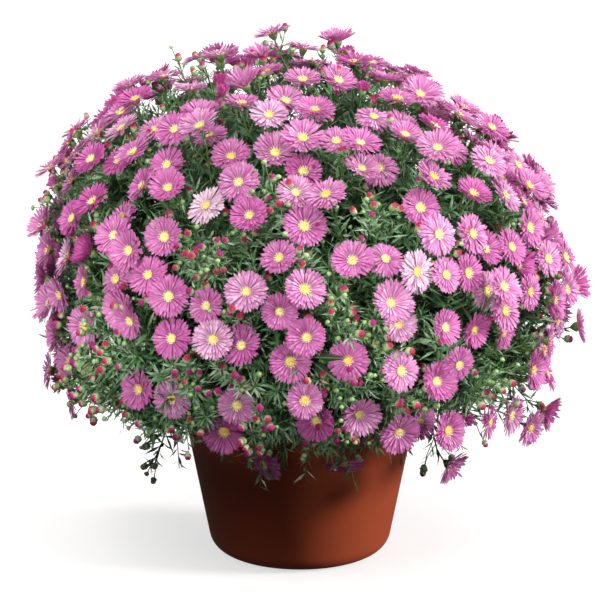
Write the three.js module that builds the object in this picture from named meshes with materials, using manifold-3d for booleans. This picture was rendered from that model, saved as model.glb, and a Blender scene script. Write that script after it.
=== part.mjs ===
// Potted New York aster: a domed autumn plant of leafy stems that each end in a spray of many-rayed
// pink blooms and buds, growing out of the soil in a plain tapered terracotta-coloured pot.
// Millimetres, +Z up, origin at the centre of the pot's underside, seen in the photo along +Y.

import * as THREE from 'three';
import { mergeVertices } from 'three/addons/utils/BufferGeometryUtils.js';
import Module from 'manifold-3d';

const wasm = await Module();
wasm.setup();

// Driving dimensions of the pot, its drain holes and the root ball
const pot = { height: 140, rimRadius: 100, baseRadius: 73, wall: 4, corner: 16, lip: 1 };
const turning = { sides: 28, bends: 3 };
const drain = { count: 4, radius: 5, circle: 40, sides: 6, bore: 16 };
const soil = { top: 127, edge: 3, gap: 0.3, stemHole: 14, holeSides: 4, holeRadius: 2.7 };

// The dome that the blooms lie on: its widest height and reach, and how it rounds off above and below
const dome = { middle: 238, reach: 216, rise: 180, drop: 150, lowest: 138, top: 416 };
const bulge = { shoulder: 2.05, skirt: 2.6, apexShift: -16, downturn: 0.3 };
const swell = { share: 0.03, lobes: 3, lean: 45 };

// The stems that leave the soil, and the straight end of each that bears a spray
const shoots = { count: 24, fork: 0.56, lowestFork: 170, innermost: 9, outermost: 64, lowestTarget: 150 };
const stem = { marks: [0, 1 / 3, 2 / 3, 1], radius: 1.5, taper: 0.4, bend: 0.45, rise: [6, 32] };
const rachis = { length: 40, seat: 0.3, radius: [1.7, 1.1], tip: 1 };

// Flower heads by kind: how many, corners in each layer, smallest and largest radius, depth of the notches
// between rays, and height of the eye, depth of the cup and radius of the neck behind it
const heads = {
  bloom: { count: 338, rays: [5, 4], radius: [14, 17.5], notch: 0.8, boss: 2.2, cup: 6.5, neck: 1.7 },
  opening: { count: 16, rays: [3, 3], radius: [6.5, 8.5], notch: 0.9, boss: 5, cup: 7, neck: 1.6 },
  bud: { count: 32, rays: [2, 2], radius: [2.6, 4.2], notch: 1, boss: 5, cup: 3.4, neck: 1.2 },
};

// A head's rim stands this far over its centre, and its stalk has this radius where it leaves the spray
const edgeLift = 1;
const stalkEnd = 0.55;

// How deep the heads lie under the dome's skin, how they turn, and what they keep clear of
const layers = { outerShare: 0.58, depth: [0, 11], budDepth: [-6, 12], jitter: 3 };
const growth = { seed: 20417, tries: 14000, lift: 0.12, tilt: 0.3, markedTilt: 0.2, apart: 19 };
const turns = { least: 0.35, withStalk: 0.9 };
const spacing = { overlap: 4, rim: 1, stalk: 1.6, overRim: 14, pastRim: 16 };
const probes = { stalk: 36, rim: 30, gap: 40 };

// Blades and twigs of the leafy stems
const leaf = { length: [26, 40], width: 6.5, thick: 1.6, widest: 0.42, onStem: 2, onTwig: 3, seed: 7351 };
const leafPlaces = { stem: [0.5, 0.7], twig: [0.5, 0.98], lean: 0.8, twigLean: [0.7, 1.3], turn: 2.2 };
const twig = { count: 2, radius: [0.9, 0.7], spread: [30, 55], reach: [0.62, 0.78], from: [0.94, 0.82] };
const twigEnd = { turn: 2.1, tip: 1 };

// Gap between neighbours, and the least lengths that count when points are compared and merged
const clearance = 0.35;
const tolerance = 1e-3;
const weld = 1e-4;

const GOLDEN_ANGLE = Math.PI * (3 - Math.sqrt(5));
const steepest = 0.9;
const parkMiller = { factor: 16807, modulus: 2147483647 };

// Where a marked head's size lies from its kind's smallest to its largest
const markedSize = 0.6;

// Heads with a place of their own: azimuth in degrees from +X, radius and height of the head, and its kind
const markedHeads = [
  [180, 22, 434, 'bloom'],
  [5, 30, 427, 'bloom'],
  [180, 137, 391, 'bloom'],
  [190, 207, 162, 'bloom'],
  [357, 228, 193, 'bloom'],
  [349, 203, 129, 'bloom'],
  [341, 197, 122, 'bloom'],
  [322, 152, 100, 'bloom'],
  [257, 126, 110, 'bloom'],
  [286, 126, 110, 'bloom'],
  [274, 185, 165, 'bloom'],
  [251, 180, 152, 'bloom'],
  [284, 188, 170, 'bloom'],
  [258, 212, 232, 'bloom'],
  [268, 210, 220, 'bloom'],
  [280, 210, 220, 'bloom'],
  [292, 206, 207, 'bloom'],
  [301, 204, 194, 'bloom'],
  [243, 215, 233, 'bloom'],
  [230, 195, 180, 'bloom'],
  [239, 192, 177, 'bloom'],
  [259, 212, 274, 'bloom'],
  [242, 212, 265, 'bloom'],
  [271, 212, 277, 'bloom'],
  [281, 207, 297, 'bloom'],
  [289, 211, 263, 'bloom'],
  [317, 215, 262, 'bloom'],
  [338, 218, 234, 'bloom'],
  [239, 150, 385, 'bloom'],
  [287, 157, 376, 'bloom'],
  [309, 168, 368, 'bloom'],
  [213, 193, 320, 'bloom'],
  [327, 176, 350, 'bloom'],
  [188, 210, 283, 'bloom'],
  [276, 186, 344, 'bloom'],
  [203, 138, 86, 'bud'],
  [294, 121, 80, 'bud'],
  [192, 190, 145, 'bud'],
  [348, 190, 156, 'bud'],
  [180, 98, 414, 'bud'],
];

// Places where leaves show between the blooms: azimuth in degrees, height and half width
const leafyWindows = [
  [254, 308, 27],
  [264, 348, 18],
  [272, 308, 16],
  [290, 334, 20],
  [278, 266, 16],
  [288, 244, 16],
  [217, 190, 26],
  [220, 230, 18],
  [256, 196, 22],
  [317, 180, 30],
  [238, 150, 18],
  [228, 205, 26],
  [255, 252, 13],
  [277, 248, 15],
  [288, 224, 13],
  [276, 196, 14],
  [246, 190, 12],
  [262, 148, 18],
  [281, 148, 20],
  [300, 165, 16],
  [207, 166, 16],
  [218, 168, 22],
  [227, 150, 24],
  [245, 206, 14],
  [248, 168, 12],
  [257, 151, 12],
  [260, 172, 14],
  [277, 186, 22],
  [278, 142, 20],
  [284, 198, 12],
  [293, 174, 16],
  [281, 243, 10],
  [249, 281, 14],
  [247, 294, 14],
  [40, 300, 26],
  [75, 190, 28],
  [120, 250, 26],
  [160, 330, 20],
];

// Park and Miller's generator, which gives the same draws in any language that has whole numbers to 2^53
function randomSource(seed) {
  let state = seed;
  return (low = 0, high = 1) => {
    state = (state * parkMiller.factor) % parkMiller.modulus;
    return low + ((high - low) * state) / parkMiller.modulus;
  };
}

const vector = (x, y, z) => new THREE.Vector3(x, y, z);
const around = (azimuth, radius, z) => vector(Math.cos(azimuth) * radius, Math.sin(azimuth) * radius, z);
const onward = (from, way, distance) => from.clone().addScaledVector(way, distance);
const wayTo = (from, to) => to.clone().sub(from).normalize();

// The dome's skin at a height, as a point and the way it faces, taken inwards by a depth. It swells in and
// out a little round the plant, further round the higher it is, and its top stands off the pot's axis. Its
// lower part faces down less than it slopes, because the heads there turn up to the light.
function domeAt(azimuth, height, depth = 0) {
  const above = height >= dome.middle;
  const span = above ? dome.rise : dome.drop;
  const power = above ? bulge.shoulder : bulge.skirt;
  const share = Math.min(1, Math.abs(height - dome.middle) / span);
  const width = (1 - share ** power) ** (1 / power);
  const slope = (above ? 1 : -bulge.downturn) * (share ** (power - 1) / span);
  const facing = around(azimuth, width ** (power - 1) / dome.reach, slope).normalize();
  const reach = dome.reach * (1 + swell.share * Math.sin(swell.lobes * azimuth - height / swell.lean));
  const point = onward(around(azimuth, reach * width, height), facing, -depth);
  if (above) point.x += bulge.apexShift * share ** 2;
  return { point, facing };
}

// A stem's line leaves the soil, goes up and over the rim, and ends at the fork where its spray begins
function planShoots() {
  const planned = [];
  for (let k = 0; k < shoots.count; k++) {
    const rank = (k + 0.5) / shoots.count;
    const azimuth = k * GOLDEN_ANGLE;
    const height = THREE.MathUtils.lerp(dome.top, shoots.lowestTarget, rank);
    const target = domeAt(azimuth, height).point;
    const root = around(azimuth, THREE.MathUtils.lerp(shoots.innermost, shoots.outermost, rank), soil.top);
    const fork = root.clone().lerp(target, shoots.fork);
    fork.z = Math.max(fork.z, shoots.lowestFork);
    const bend = root.clone().lerp(fork, stem.bend);
    bend.z += THREE.MathUtils.lerp(stem.rise[0], stem.rise[1], rank);
    const line = new THREE.QuadraticBezierCurve3(root, bend, fork);
    const knots = stem.marks.map((t) => line.getPoint(t));
    const along = wayTo(knots[knots.length - 2], fork);
    planned.push({ azimuth, target, line, knots, fork, along, heads: [] });
  }
  return planned;
}

// Gives a head its stalk's root, and with it the points along the stalk by which crossings are found
function rootAt(head, root) {
  head.root = root;
  const stations = Array.from({ length: probes.stalk + 1 }, (_, i) => i / probes.stalk);
  head.stalk = stations.map((t) => root.clone().lerp(head.neck, t));
}

const nearestShoot = (plan, place) => {
  return plan.reduce((a, b) => (a.target.distanceTo(place) < b.target.distanceTo(place) ? a : b));
};

// A flower head on its stalk from the axis of the nearest spray
function planHead(plan, kind, layer, centre, facing, radius) {
  const shoot = nearestShoot(plan, centre);
  const neck = onward(centre, facing, -heads[kind].cup);
  const rim = ring(onward(centre, facing, edgeLift), facing, Array(probes.rim).fill(radius));
  const head = { kind, layer, shoot, centre, facing, radius, neck, rim };
  rootAt(head, onward(shoot.fork, shoot.along, rachis.length / 2));
  return head;
}

// Whether any of the points lies in a head's solid, or within a margin of it
function holds({ kind, centre, facing, radius }, points, margin) {
  const { cup, neck, boss } = heads[kind];
  return points.some((point) => {
    const offset = point.clone().sub(centre);
    const lift = offset.dot(facing);
    const level = THREE.MathUtils.clamp(lift, -cup, boss);
    const reach = level < edgeLift
      ? THREE.MathUtils.lerp(neck, radius, (level + cup) / (edgeLift + cup))
      : (radius * (boss - level)) / (boss - edgeLift);
    const out = Math.sqrt(Math.max(0, offset.lengthSq() - lift * lift));
    return Math.abs(lift - level) < margin && out < reach + margin;
  });
}

const stalksMeet = (a, b) => holds(b, a.stalk, spacing.stalk) || holds(a, b.stalk, spacing.stalk);

// Whether two heads would cross. Those of one spray may grow together a little at their rims.
function headsMeet(a, b) {
  const apart = a.centre.distanceTo(b.centre);
  const touching = a.radius + b.radius;
  const open = a.kind !== 'bud' && b.kind !== 'bud';
  if (apart < (open ? growth.apart : touching)) return true;
  const grown = a.shoot === b.shoot && apart > touching - spacing.overlap;
  const near = !grown && apart < touching + 2 * spacing.rim;
  if (near && (holds(a, b.rim, spacing.rim) || holds(b, a.rim, spacing.rim))) return true;
  return stalksMeet(a, b);
}

// Shortest distance between two straight stretches
function stretchGap(a0, a1, b0, b1) {
  let least = Infinity;
  const way = b1.clone().sub(b0);
  for (let step = 0; step <= probes.gap; step++) {
    const point = a0.clone().lerp(a1, step / probes.gap);
    const share = THREE.MathUtils.clamp(point.clone().sub(b0).dot(way) / way.lengthSq(), 0, 1);
    least = Math.min(least, point.distanceTo(b0.clone().addScaledVector(way, share)));
  }
  return least;
}

// Stalks leave the spray's axis one above another, the widest-spread ones lowest
function spreadRoots(shoot) {
  const lean = (head) => wayTo(shoot.fork, head.centre).dot(shoot.along);
  shoot.heads.sort((a, b) => lean(a) - lean(b));
  shoot.heads.forEach((head, i) => {
    rootAt(head, onward(shoot.fork, shoot.along, (rachis.length * (i + 1)) / (shoot.heads.length + 1)));
  });
}

// Whether a placed head crosses one of another spray, now that its stalk has its own root
function crossesSpray(head, kept) {
  return kept.some((other) => other.shoot !== head.shoot && (
    stalksMeet(head, other)
    || stretchGap(head.root, head.neck, other.root, other.neck) < heads.bloom.neck + clearance));
}

// Places every bloom, opening head and bud, the marked ones first and then kind by kind over the dome
function planHeads(plan) {
  const random = randomSource(growth.seed);
  const placed = [];
  const windows = leafyWindows.map(([degrees, height, size]) => {
    return { point: domeAt(THREE.MathUtils.degToRad(degrees), height).point, size };
  });
  const add = (head) => {
    const out = Math.hypot(head.centre.x, head.centre.y);
    const atPot = head.centre.z < pot.height + spacing.overRim && out < pot.rimRadius + spacing.pastRim;
    const inWindow = head.kind !== 'bud' && windows.some((w) => w.point.distanceTo(head.centre) < w.size);
    const bent = wayTo(head.root, head.neck).dot(head.facing) < turns.least;
    if (atPot || inWindow || bent || placed.some((other) => headsMeet(head, other))) return;
    placed.push(head);
  };
  const tilt = (facing, amount) => facing.clone()
    .add(vector(random(-amount, amount), random(-amount, amount), random(-amount, amount) + growth.lift))
    .normalize();
  for (const [degrees, radius, height, kind] of markedHeads) {
    const azimuth = THREE.MathUtils.degToRad(degrees);
    const place = around(azimuth, radius, height);
    const outward = domeAt(azimuth, Math.max(height, dome.lowest)).facing;
    const stalkWay = wayTo(nearestShoot(plan, place).fork, place);
    const facing = tilt(onward(outward, stalkWay, turns.withStalk).normalize(), growth.markedTilt);
    const size = THREE.MathUtils.lerp(...heads[kind].radius, markedSize);
    add(planHead(plan, kind, 0, place, facing, size));
  }
  for (const kind of Object.keys(heads)) {
    const { count, radius } = heads[kind];
    const isShort = () => placed.filter((head) => head.kind === kind).length < count;
    for (let tries = 0; tries < growth.tries && isShort(); tries++) {
      const azimuth = random(0, 2 * Math.PI);
      const height = random(dome.lowest, dome.top);
      const layer = random() < layers.outerShare ? 0 : 1;
      const depth = kind === 'bud' ? random(...layers.budDepth) : layers.depth[layer];
      const at = domeAt(azimuth, height, depth + random(-layers.jitter, layers.jitter));
      add(planHead(plan, kind, layer, at.point, tilt(at.facing, growth.tilt), random(...radius)));
    }
  }
  for (const head of placed) head.shoot.heads.push(head);
  for (const shoot of plan) spreadRoots(shoot);
  const kept = [];
  for (const head of placed) {
    if (!crossesSpray(head, kept)) kept.push(head);
  }
  for (const shoot of plan) shoot.heads = shoot.heads.filter((head) => kept.includes(head));
}

// A closed skin over a row of rings of points, where neighbouring rings may differ in their number of points
function skin(rings) {
  const positions = [];
  const face = (a, b, c) => {
    if (a !== b && b !== c && c !== a) positions.push(...a.toArray(), ...b.toArray(), ...c.toArray());
  };
  for (let r = 0; r + 1 < rings.length; r++) {
    const [low, high] = [rings[r], rings[r + 1]];
    const most = Math.max(low.length, high.length);
    const pick = (points, i) => points[Math.floor((i * points.length) / most) % points.length];
    for (let i = 0; i < most; i++) {
      face(pick(low, i), pick(low, i + 1), pick(high, i + 1));
      face(pick(low, i), pick(high, i + 1), pick(high, i));
    }
  }
  const geometry = new THREE.BufferGeometry();
  geometry.setAttribute('position', new THREE.Float32BufferAttribute(positions, 3));
  return geometry;
}

// A level way square to a stalk's, from which the points of its rings are counted
function sideOf(way) {
  const up = Math.abs(way.z) < steepest ? vector(0, 0, 1) : vector(1, 0, 0);
  return up.cross(way).normalize();
}

// Points of a ring round a place, square to the way it faces, counted from its side
function ring(centre, facing, radii, side = sideOf(facing)) {
  const across = side.clone().projectOnPlane(facing).normalize();
  const other = facing.clone().cross(across);
  return radii.map((radius, i) => {
    const angle = (i / radii.length) * 2 * Math.PI;
    return onward(onward(centre, across, Math.cos(angle) * radius), other, Math.sin(angle) * radius);
  });
}

const triangle = (centre, facing, radius, side) => ring(centre, facing, [radius, radius, radius], side);

// A way square to another, turned round it by an angle
const sideways = (way, angle) => sideOf(way).applyAxisAngle(way, angle);

// A closed mesh as a solid that can be joined and cut
function solid(geometry) {
  const bare = geometry.clone();
  bare.deleteAttribute('normal');
  bare.deleteAttribute('uv');
  const merged = mergeVertices(bare, weld);
  const mesh = new wasm.Mesh({
    numProp: 3,
    vertProperties: merged.attributes.position.array,
    triVerts: new Uint32Array(merged.index.array),
  });
  return new wasm.Manifold(mesh);
}

// Whether the points of a fan round a centre lie in one plane, and the way that the fan faces
function flatFan(points, centre, fan) {
  const arms = fan.map((i) => points[i].clone().sub(points[centre]));
  const normal = vector(0, 0, 0);
  for (let i = 0; i + 1 < arms.length; i++) normal.add(arms[i].clone().cross(arms[i + 1]));
  normal.normalize();
  return { normal, flat: arms.every((arm) => Math.abs(arm.dot(normal)) < tolerance) };
}

// Whether every triangle drawn from one point of a flat outline to its other edges keeps to the same side
function opensFrom(points, apex, outline, normal) {
  for (let i = 0; i + 1 < outline.length; i++) {
    if (outline[i] === apex || outline[i + 1] === apex) continue;
    const [a, b] = [outline[i], outline[i + 1]].map((k) => points[k].clone().sub(points[apex]));
    if (a.cross(b).dot(normal) < tolerance) return false;
  }
  return true;
}

// Takes out each point that a join leaves part way along a straight edge, by drawing it in to the edge's end
function dropStrayPoints(points, faces) {
  const facesAt = points.map(() => new Set());
  faces.forEach((face) => face.forEach((i) => facesAt[i].add(face)));
  const after = (face, i) => face[(face.indexOf(i) + 1) % 3];
  const around = (v) => {
    const next = new Map([...facesAt[v]].map((face) => [after(face, v), after(face, after(face, v))]));
    const found = [next.keys().next().value];
    while (found.length < next.size) found.push(next.get(found[found.length - 1]));
    return found;
  };
  const drawIn = (v, end) => {
    for (const face of facesAt[v]) {
      if (face.includes(end)) {
        face.forEach((i) => facesAt[i].delete(face));
        faces.splice(faces.indexOf(face), 1);
      } else {
        face[face.indexOf(v)] = end;
        facesAt[end].add(face);
      }
    }
    facesAt[v].clear();
  };
  const mayDrawIn = (v, ringPoints, first, last) => {
    const edge = new THREE.Line3(points[ringPoints[first]], points[ringPoints[last]]);
    const nearest = edge.closestPointToPoint(points[v], true, vector(0, 0, 0));
    if (nearest.distanceTo(points[v]) > tolerance) return false;
    const turned = [...ringPoints.slice(first), ...ringPoints.slice(0, first)];
    const split = turned.indexOf(ringPoints[last]);
    const end = turned[0];
    const sharedBy = around(end).filter((i) => turned.includes(i));
    const sides = [turned.slice(0, split + 1), [...turned.slice(split), end]];
    return sharedBy.length === 2 && sides.every((side) => {
      const { normal, flat } = flatFan(points, v, side);
      return flat && opensFrom(points, end, side, normal);
    });
  };
  points.forEach((_, v) => {
    const ringPoints = facesAt[v].size ? around(v) : [];
    for (let first = 0; first < ringPoints.length; first++) {
      const last = ringPoints.findIndex((_, k) => k !== first && mayDrawIn(v, ringPoints, first, k));
      if (last < 0) continue;
      drawIn(v, ringPoints[first]);
      return;
    }
  });
}

// A solid as a mesh again, without its stray points
function geometryOf(made) {
  const mesh = made.getMesh();
  const points = [];
  for (let i = 0; i < mesh.vertProperties.length; i += 3) {
    points.push(vector(...mesh.vertProperties.slice(i, i + 3)));
  }
  const faces = [];
  for (let i = 0; i < mesh.triVerts.length; i += 3) faces.push([...mesh.triVerts.slice(i, i + 3)]);
  dropStrayPoints(points, faces);
  const geometry = new THREE.BufferGeometry().setFromPoints(points);
  geometry.setIndex(faces.flat());
  geometry.computeVertexNormals();
  return geometry;
}

// A head is a star-edged disc, raised in the middle for its eye and drawn in behind to its cup and stalk
function headSolid({ kind, layer, centre, facing, radius, root, neck }) {
  const form = heads[kind];
  const edge = Array.from({ length: form.rays[layer] * 2 }, (_, i) => radius * (i % 2 ? form.notch : 1));
  const way = wayTo(root, neck);
  const side = sideOf(way);
  return solid(skin([
    [root],
    triangle(root, way, stalkEnd, side),
    triangle(neck, way, form.neck, side),
    ring(onward(centre, facing, edgeLift), facing, edge, side),
    [onward(centre, facing, form.boss)],
  ]));
}

// A spray is the stem's upper end with every stalk, bloom and bud that leaves it, fused into one body
function spraySolid({ fork, along, heads: borne }) {
  const start = onward(fork, along, rachis.seat);
  const end = onward(fork, along, rachis.length);
  const axis = solid(skin([
    [start],
    triangle(start, along, rachis.radius[0]),
    triangle(end, along, rachis.radius[1]),
    [onward(end, along, rachis.tip)],
  ]));
  return wasm.Manifold.union([axis, ...borne.map(headSolid)]);
}

// A lance-shaped blade from its root, flat above and keeled below, widest nearer its root
function leafSolid(root, way, length, grow = 0) {
  const side = sideOf(way);
  const over = way.clone().cross(side);
  const middle = onward(onward(root, way, length * leaf.widest), over, leaf.thick + grow);
  const tip = onward(root, way, length + grow);
  const half = leaf.width / 2 + grow;
  return solid(skin([[root], [onward(middle, side, -half), tip, onward(middle, side, half)], [tip]]));
}

// A thin three-sided twig, pointed at its end
function twigSolid(root, tip, grow = 0) {
  const way = wayTo(root, tip);
  return solid(skin([
    [root],
    triangle(root, way, twig.radius[0] + grow),
    triangle(tip, way, twig.radius[1] + grow),
    [onward(tip, way, twigEnd.tip + grow)],
  ]));
}

// Value number i of a count of values spread evenly between two ends
const spaced = ([first, last], i, count) => THREE.MathUtils.lerp(first, last, i / (count - 1));

// A place on a stem's own straight stretches
function onStem({ knots }, t) {
  const stretches = knots.length - 1;
  const stretch = Math.min(stretches - 1, Math.floor(t * stretches));
  return knots[stretch].clone().lerp(knots[stretch + 1], t * stretches - stretch);
}

// A leafy stem with its twigs: each blade and twig is kept only where it stands clear of everything else
function leafyStemSolid(shoot, others, random) {
  const { azimuth, line, knots, fork, target } = shoot;
  const upright = vector(0, 0, 1);
  const level = vector(-Math.sin(azimuth), Math.cos(azimuth), 0);
  const foot = knots[0].clone().setZ(soil.top - soil.stemHole + soil.gap);
  const rings = stem.marks.slice(1).map((t, i) => {
    return triangle(knots[i + 1], line.getTangent(t), stem.radius - stem.taper * t, level);
  });
  const pieces = [solid(skin([
    [foot],
    triangle(foot, upright, stem.radius, level),
    triangle(knots[0], upright, stem.radius, level),
    ...rings,
    [fork.clone()],
  ]))];
  const clear = (made) => others.every((other) => made.intersect(other).isEmpty());
  const addLeaf = (root, way) => {
    const length = random(...leaf.length);
    if (clear(leafSolid(root, way, length, clearance))) pieces.push(leafSolid(root, way, length));
  };
  for (let i = 0; i < leaf.onStem; i++) {
    const t = spaced(leafPlaces.stem, i, leaf.onStem);
    const tangent = line.getTangent(t);
    const out = sideways(tangent, i * GOLDEN_ANGLE);
    addLeaf(onStem(shoot, t), onward(out, tangent, leafPlaces.lean).normalize());
  }
  for (let w = 0; w < twig.count; w++) {
    const root = onStem(shoot, spaced(twig.from, w, twig.count));
    const aim = onward(target, sideways(shoot.along, w * twigEnd.turn + azimuth), random(...twig.spread));
    const tip = onward(root, wayTo(root, aim), root.distanceTo(target) * random(...twig.reach));
    if (!clear(twigSolid(root, tip, clearance))) continue;
    pieces.push(twigSolid(root, tip));
    const way = wayTo(root, tip);
    for (let i = 0; i < leaf.onTwig; i++) {
      const at = root.clone().lerp(tip, spaced(leafPlaces.twig, i, leaf.onTwig));
      const out = sideways(way, i * leafPlaces.turn + w);
      addLeaf(at, onward(out, way, spaced(leafPlaces.twigLean, i, leaf.onTwig)).normalize());
    }
  }
  return wasm.Manifold.union(pieces);
}

// The wall's lean, and the centre of the round between it and the base
const lean = Math.atan((pot.rimRadius - pot.baseRadius) / pot.height);
const roundCentre = pot.baseRadius - (pot.corner * (1 - Math.sin(lean))) / Math.cos(lean);

// Half outline of the pot's outside drawn in by a depth, from the axis up to a height
function potOutline(depth, top) {
  const points = [new THREE.Vector2(0, depth)];
  const radius = pot.corner - depth;
  for (let i = 0; i <= turning.bends; i++) {
    const angle = ((Math.PI / 2 - lean) * i) / turning.bends;
    const out = roundCentre + radius * Math.sin(angle);
    points.push(new THREE.Vector2(out, pot.corner - radius * Math.cos(angle)));
  }
  const wall = pot.rimRadius - (pot.height - top) * Math.tan(lean) - depth / Math.cos(lean);
  points.push(new THREE.Vector2(wall, top));
  return points;
}

// A round body about the pot's axis
function lathe(points) {
  return solid(new THREE.LatheGeometry(points, turning.sides).rotateX(Math.PI / 2));
}

// The pot's shell, with a bevelled rim and drain holes through its floor
function potSolid() {
  const outside = potOutline(0, pot.height);
  const rim = outside.pop();
  const lip = [new THREE.Vector2(rim.x, rim.y - pot.lip), new THREE.Vector2(rim.x - pot.lip, rim.y)];
  const inside = potOutline(pot.wall, pot.height).reverse();
  let made = lathe([...outside, ...lip, ...inside]);
  for (let i = 0; i < drain.count; i++) {
    const hole = new THREE.CylinderGeometry(drain.radius, drain.radius, drain.bore, drain.sides);
    const place = around(((i + 0.5) / drain.count) * 2 * Math.PI, drain.circle, 0);
    made = made.subtract(solid(hole.rotateX(Math.PI / 2).translate(place.x, place.y, 0)));
  }
  return made;
}

// The root ball fills the pot to below its rim, with a plain hole for each stem. A hole's cutter is centred
// on the soil's top, so half of its depth goes into the soil.
function soilSolid(plan) {
  const points = potOutline(pot.wall + soil.gap, soil.top - soil.edge);
  const shoulder = points[points.length - 1].x - soil.edge;
  let made = lathe([...points, new THREE.Vector2(shoulder, soil.top), new THREE.Vector2(0, soil.top)]);
  for (const { knots } of plan) {
    const deep = soil.stemHole * 2;
    const hole = new THREE.CylinderGeometry(soil.holeRadius, soil.holeRadius, deep, soil.holeSides);
    made = made.subtract(solid(hole.rotateX(Math.PI / 2).translate(knots[0].x, knots[0].y, soil.top)));
  }
  return made;
}

const colours = {
  pot: new THREE.MeshStandardMaterial({ color: 0x8a4427, roughness: 0.55, metalness: 0 }),
  soil: new THREE.MeshStandardMaterial({ color: 0x2b2019, roughness: 1, metalness: 0 }),
  leaf: new THREE.MeshStandardMaterial({ color: 0x3f6b3a, roughness: 0.6, metalness: 0 }),
  ray: new THREE.MeshStandardMaterial({ color: 0xd765b4, roughness: 0.6, metalness: 0 }),
};

const plant = new THREE.Group();
function addNode(name, made, material) {
  const mesh = new THREE.Mesh(geometryOf(made), material);
  mesh.name = name;
  plant.add(mesh);
}

const plan = planShoots();
planHeads(plan);
const sprays = plan.map(spraySolid);
const leafyStems = [];
const leafDraws = randomSource(leaf.seed);
for (const shoot of plan) {
  leafyStems.push(leafyStemSolid(shoot, [...sprays, ...leafyStems], leafDraws));
}

const twoDigits = (k) => String(k + 1).padStart(2, '0');
addNode('pot', potSolid(), colours.pot);
addNode('soil', soilSolid(plan), colours.soil);
leafyStems.forEach((made, k) => addNode(`leafy_stem_${twoDigits(k)}`, made, colours.leaf));
sprays.forEach((made, k) => addNode(`flower_spray_${twoDigits(k)}`, made, colours.ray));

export default plant;
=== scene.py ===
"""Looks of the potted New York aster: every bloom with its rays, disc and calyx, the buds, the leafy stems,
the pot and its soil, grown by the same rule as the plain solids that they stand for."""

import math
from types import SimpleNamespace as Group

import bpy
import numpy as np
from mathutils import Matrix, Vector


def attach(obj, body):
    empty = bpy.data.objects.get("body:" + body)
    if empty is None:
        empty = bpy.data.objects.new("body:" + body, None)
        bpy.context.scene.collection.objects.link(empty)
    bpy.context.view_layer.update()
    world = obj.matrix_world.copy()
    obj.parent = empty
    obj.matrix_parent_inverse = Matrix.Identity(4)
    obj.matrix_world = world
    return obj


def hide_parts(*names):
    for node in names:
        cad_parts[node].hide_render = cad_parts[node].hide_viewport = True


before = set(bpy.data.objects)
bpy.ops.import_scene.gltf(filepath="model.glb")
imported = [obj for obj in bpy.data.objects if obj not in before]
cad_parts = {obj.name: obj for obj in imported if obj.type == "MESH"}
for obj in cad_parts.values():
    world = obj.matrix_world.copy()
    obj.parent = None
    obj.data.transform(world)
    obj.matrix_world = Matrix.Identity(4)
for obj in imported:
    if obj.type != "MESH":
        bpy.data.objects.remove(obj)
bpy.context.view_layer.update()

# The plan is in millimetres, and a piece is brought to metres when it is made
MM = 0.001
TURN = 2 * math.pi
UP = np.array([0.0, 0.0, 1.0])
GOLDEN_ANGLE = math.pi * (3 - math.sqrt(5))

# Pot, soil and plan, with the sizes that the solids have
POT = Group(height=140, rim=100, base=73, wall=4, corner=16, lip=2.2, ease=0.8)
DRAIN = Group(count=4, radius=5, circle=40)
SOIL = Group(top=127, edge=3, gap=0.3)
DOME = Group(middle=238, reach=216, rise=180, drop=150, lowest=138, top=416)
BULGE = Group(shoulder=2.05, skirt=2.6, apex_shift=-16, downturn=0.3)
SWELL = Group(share=0.03, lobes=3, lean=45)
SHOOTS = Group(count=24, fork=0.56, lowest_fork=170, innermost=9, outermost=64, lowest_target=150)
STEM = Group(marks=(0, 1 / 3, 2 / 3, 1), radius=1.5, taper=0.4, bend=0.45, rise=(6, 32))
RACHIS = Group(length=40, radius=(1.7, 1.1))
HEADS = dict(
    bloom=Group(count=338, radius=(14, 17.5), boss=2.2, cup=6.5, neck=1.7),
    opening=Group(count=16, radius=(6.5, 8.5), boss=5, cup=7, neck=1.6),
    bud=Group(count=32, radius=(2.6, 4.2), boss=5, cup=3.4, neck=1.2),
)
EDGE_LIFT = 1
LAYERS = Group(outer_share=0.58, depth=(0, 11), bud_depth=(-6, 12), jitter=3)
GROWTH = Group(tries=14000, lift=0.12, tilt=0.3, marked_tilt=0.2, apart=19, least_turn=0.35, with_stalk=0.9)
SPACING = Group(overlap=4, rim=1, stalk=1.6, over_rim=14, past_rim=16)
PROBES = Group(stalk=36, rim=30, gap=40)
LEAF = Group(length=(26, 40), width=4.55, thick=0.4, on_stem=2, on_twig=3)
LEAF_PLACES = Group(stem=(0.5, 0.7), twig=(0.5, 0.98), lean=0.8, twig_lean=(0.7, 1.3), turn=2.2)
TWIG = Group(count=2, radius=(0.9, 0.7), spread=(30, 55), reach=(0.62, 0.78), start=(0.94, 0.82), turn=2.1)
CLEARANCE, SAME_PLACE, UPRIGHT = 0.35, 0.2, 0.9
HEAD_SEED, LEAF_SEED, LOOKS_SEED = 20417, 7351, 90210

# Azimuth in degrees, radius and height of each head that has a place of its own
MARKED_HEADS = dict(
    bloom=(
        (180, 22, 434), (5, 30, 427), (180, 137, 391), (190, 207, 162), (357, 228, 193), (349, 203, 129),
        (341, 197, 122), (322, 152, 100), (257, 126, 110), (286, 126, 110), (274, 185, 165), (251, 180, 152),
        (284, 188, 170), (258, 212, 232), (268, 210, 220), (280, 210, 220), (292, 206, 207), (301, 204, 194),
        (243, 215, 233), (230, 195, 180), (239, 192, 177), (259, 212, 274), (242, 212, 265), (271, 212, 277),
        (281, 207, 297), (289, 211, 263), (317, 215, 262), (338, 218, 234), (239, 150, 385), (287, 157, 376),
        (309, 168, 368), (213, 193, 320), (327, 176, 350), (188, 210, 283), (276, 186, 344),
    ),
    bud=((203, 138, 86), (294, 121, 80), (192, 190, 145), (348, 190, 156), (180, 98, 414)),
)
MARKED_SIZE = 0.6

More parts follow.
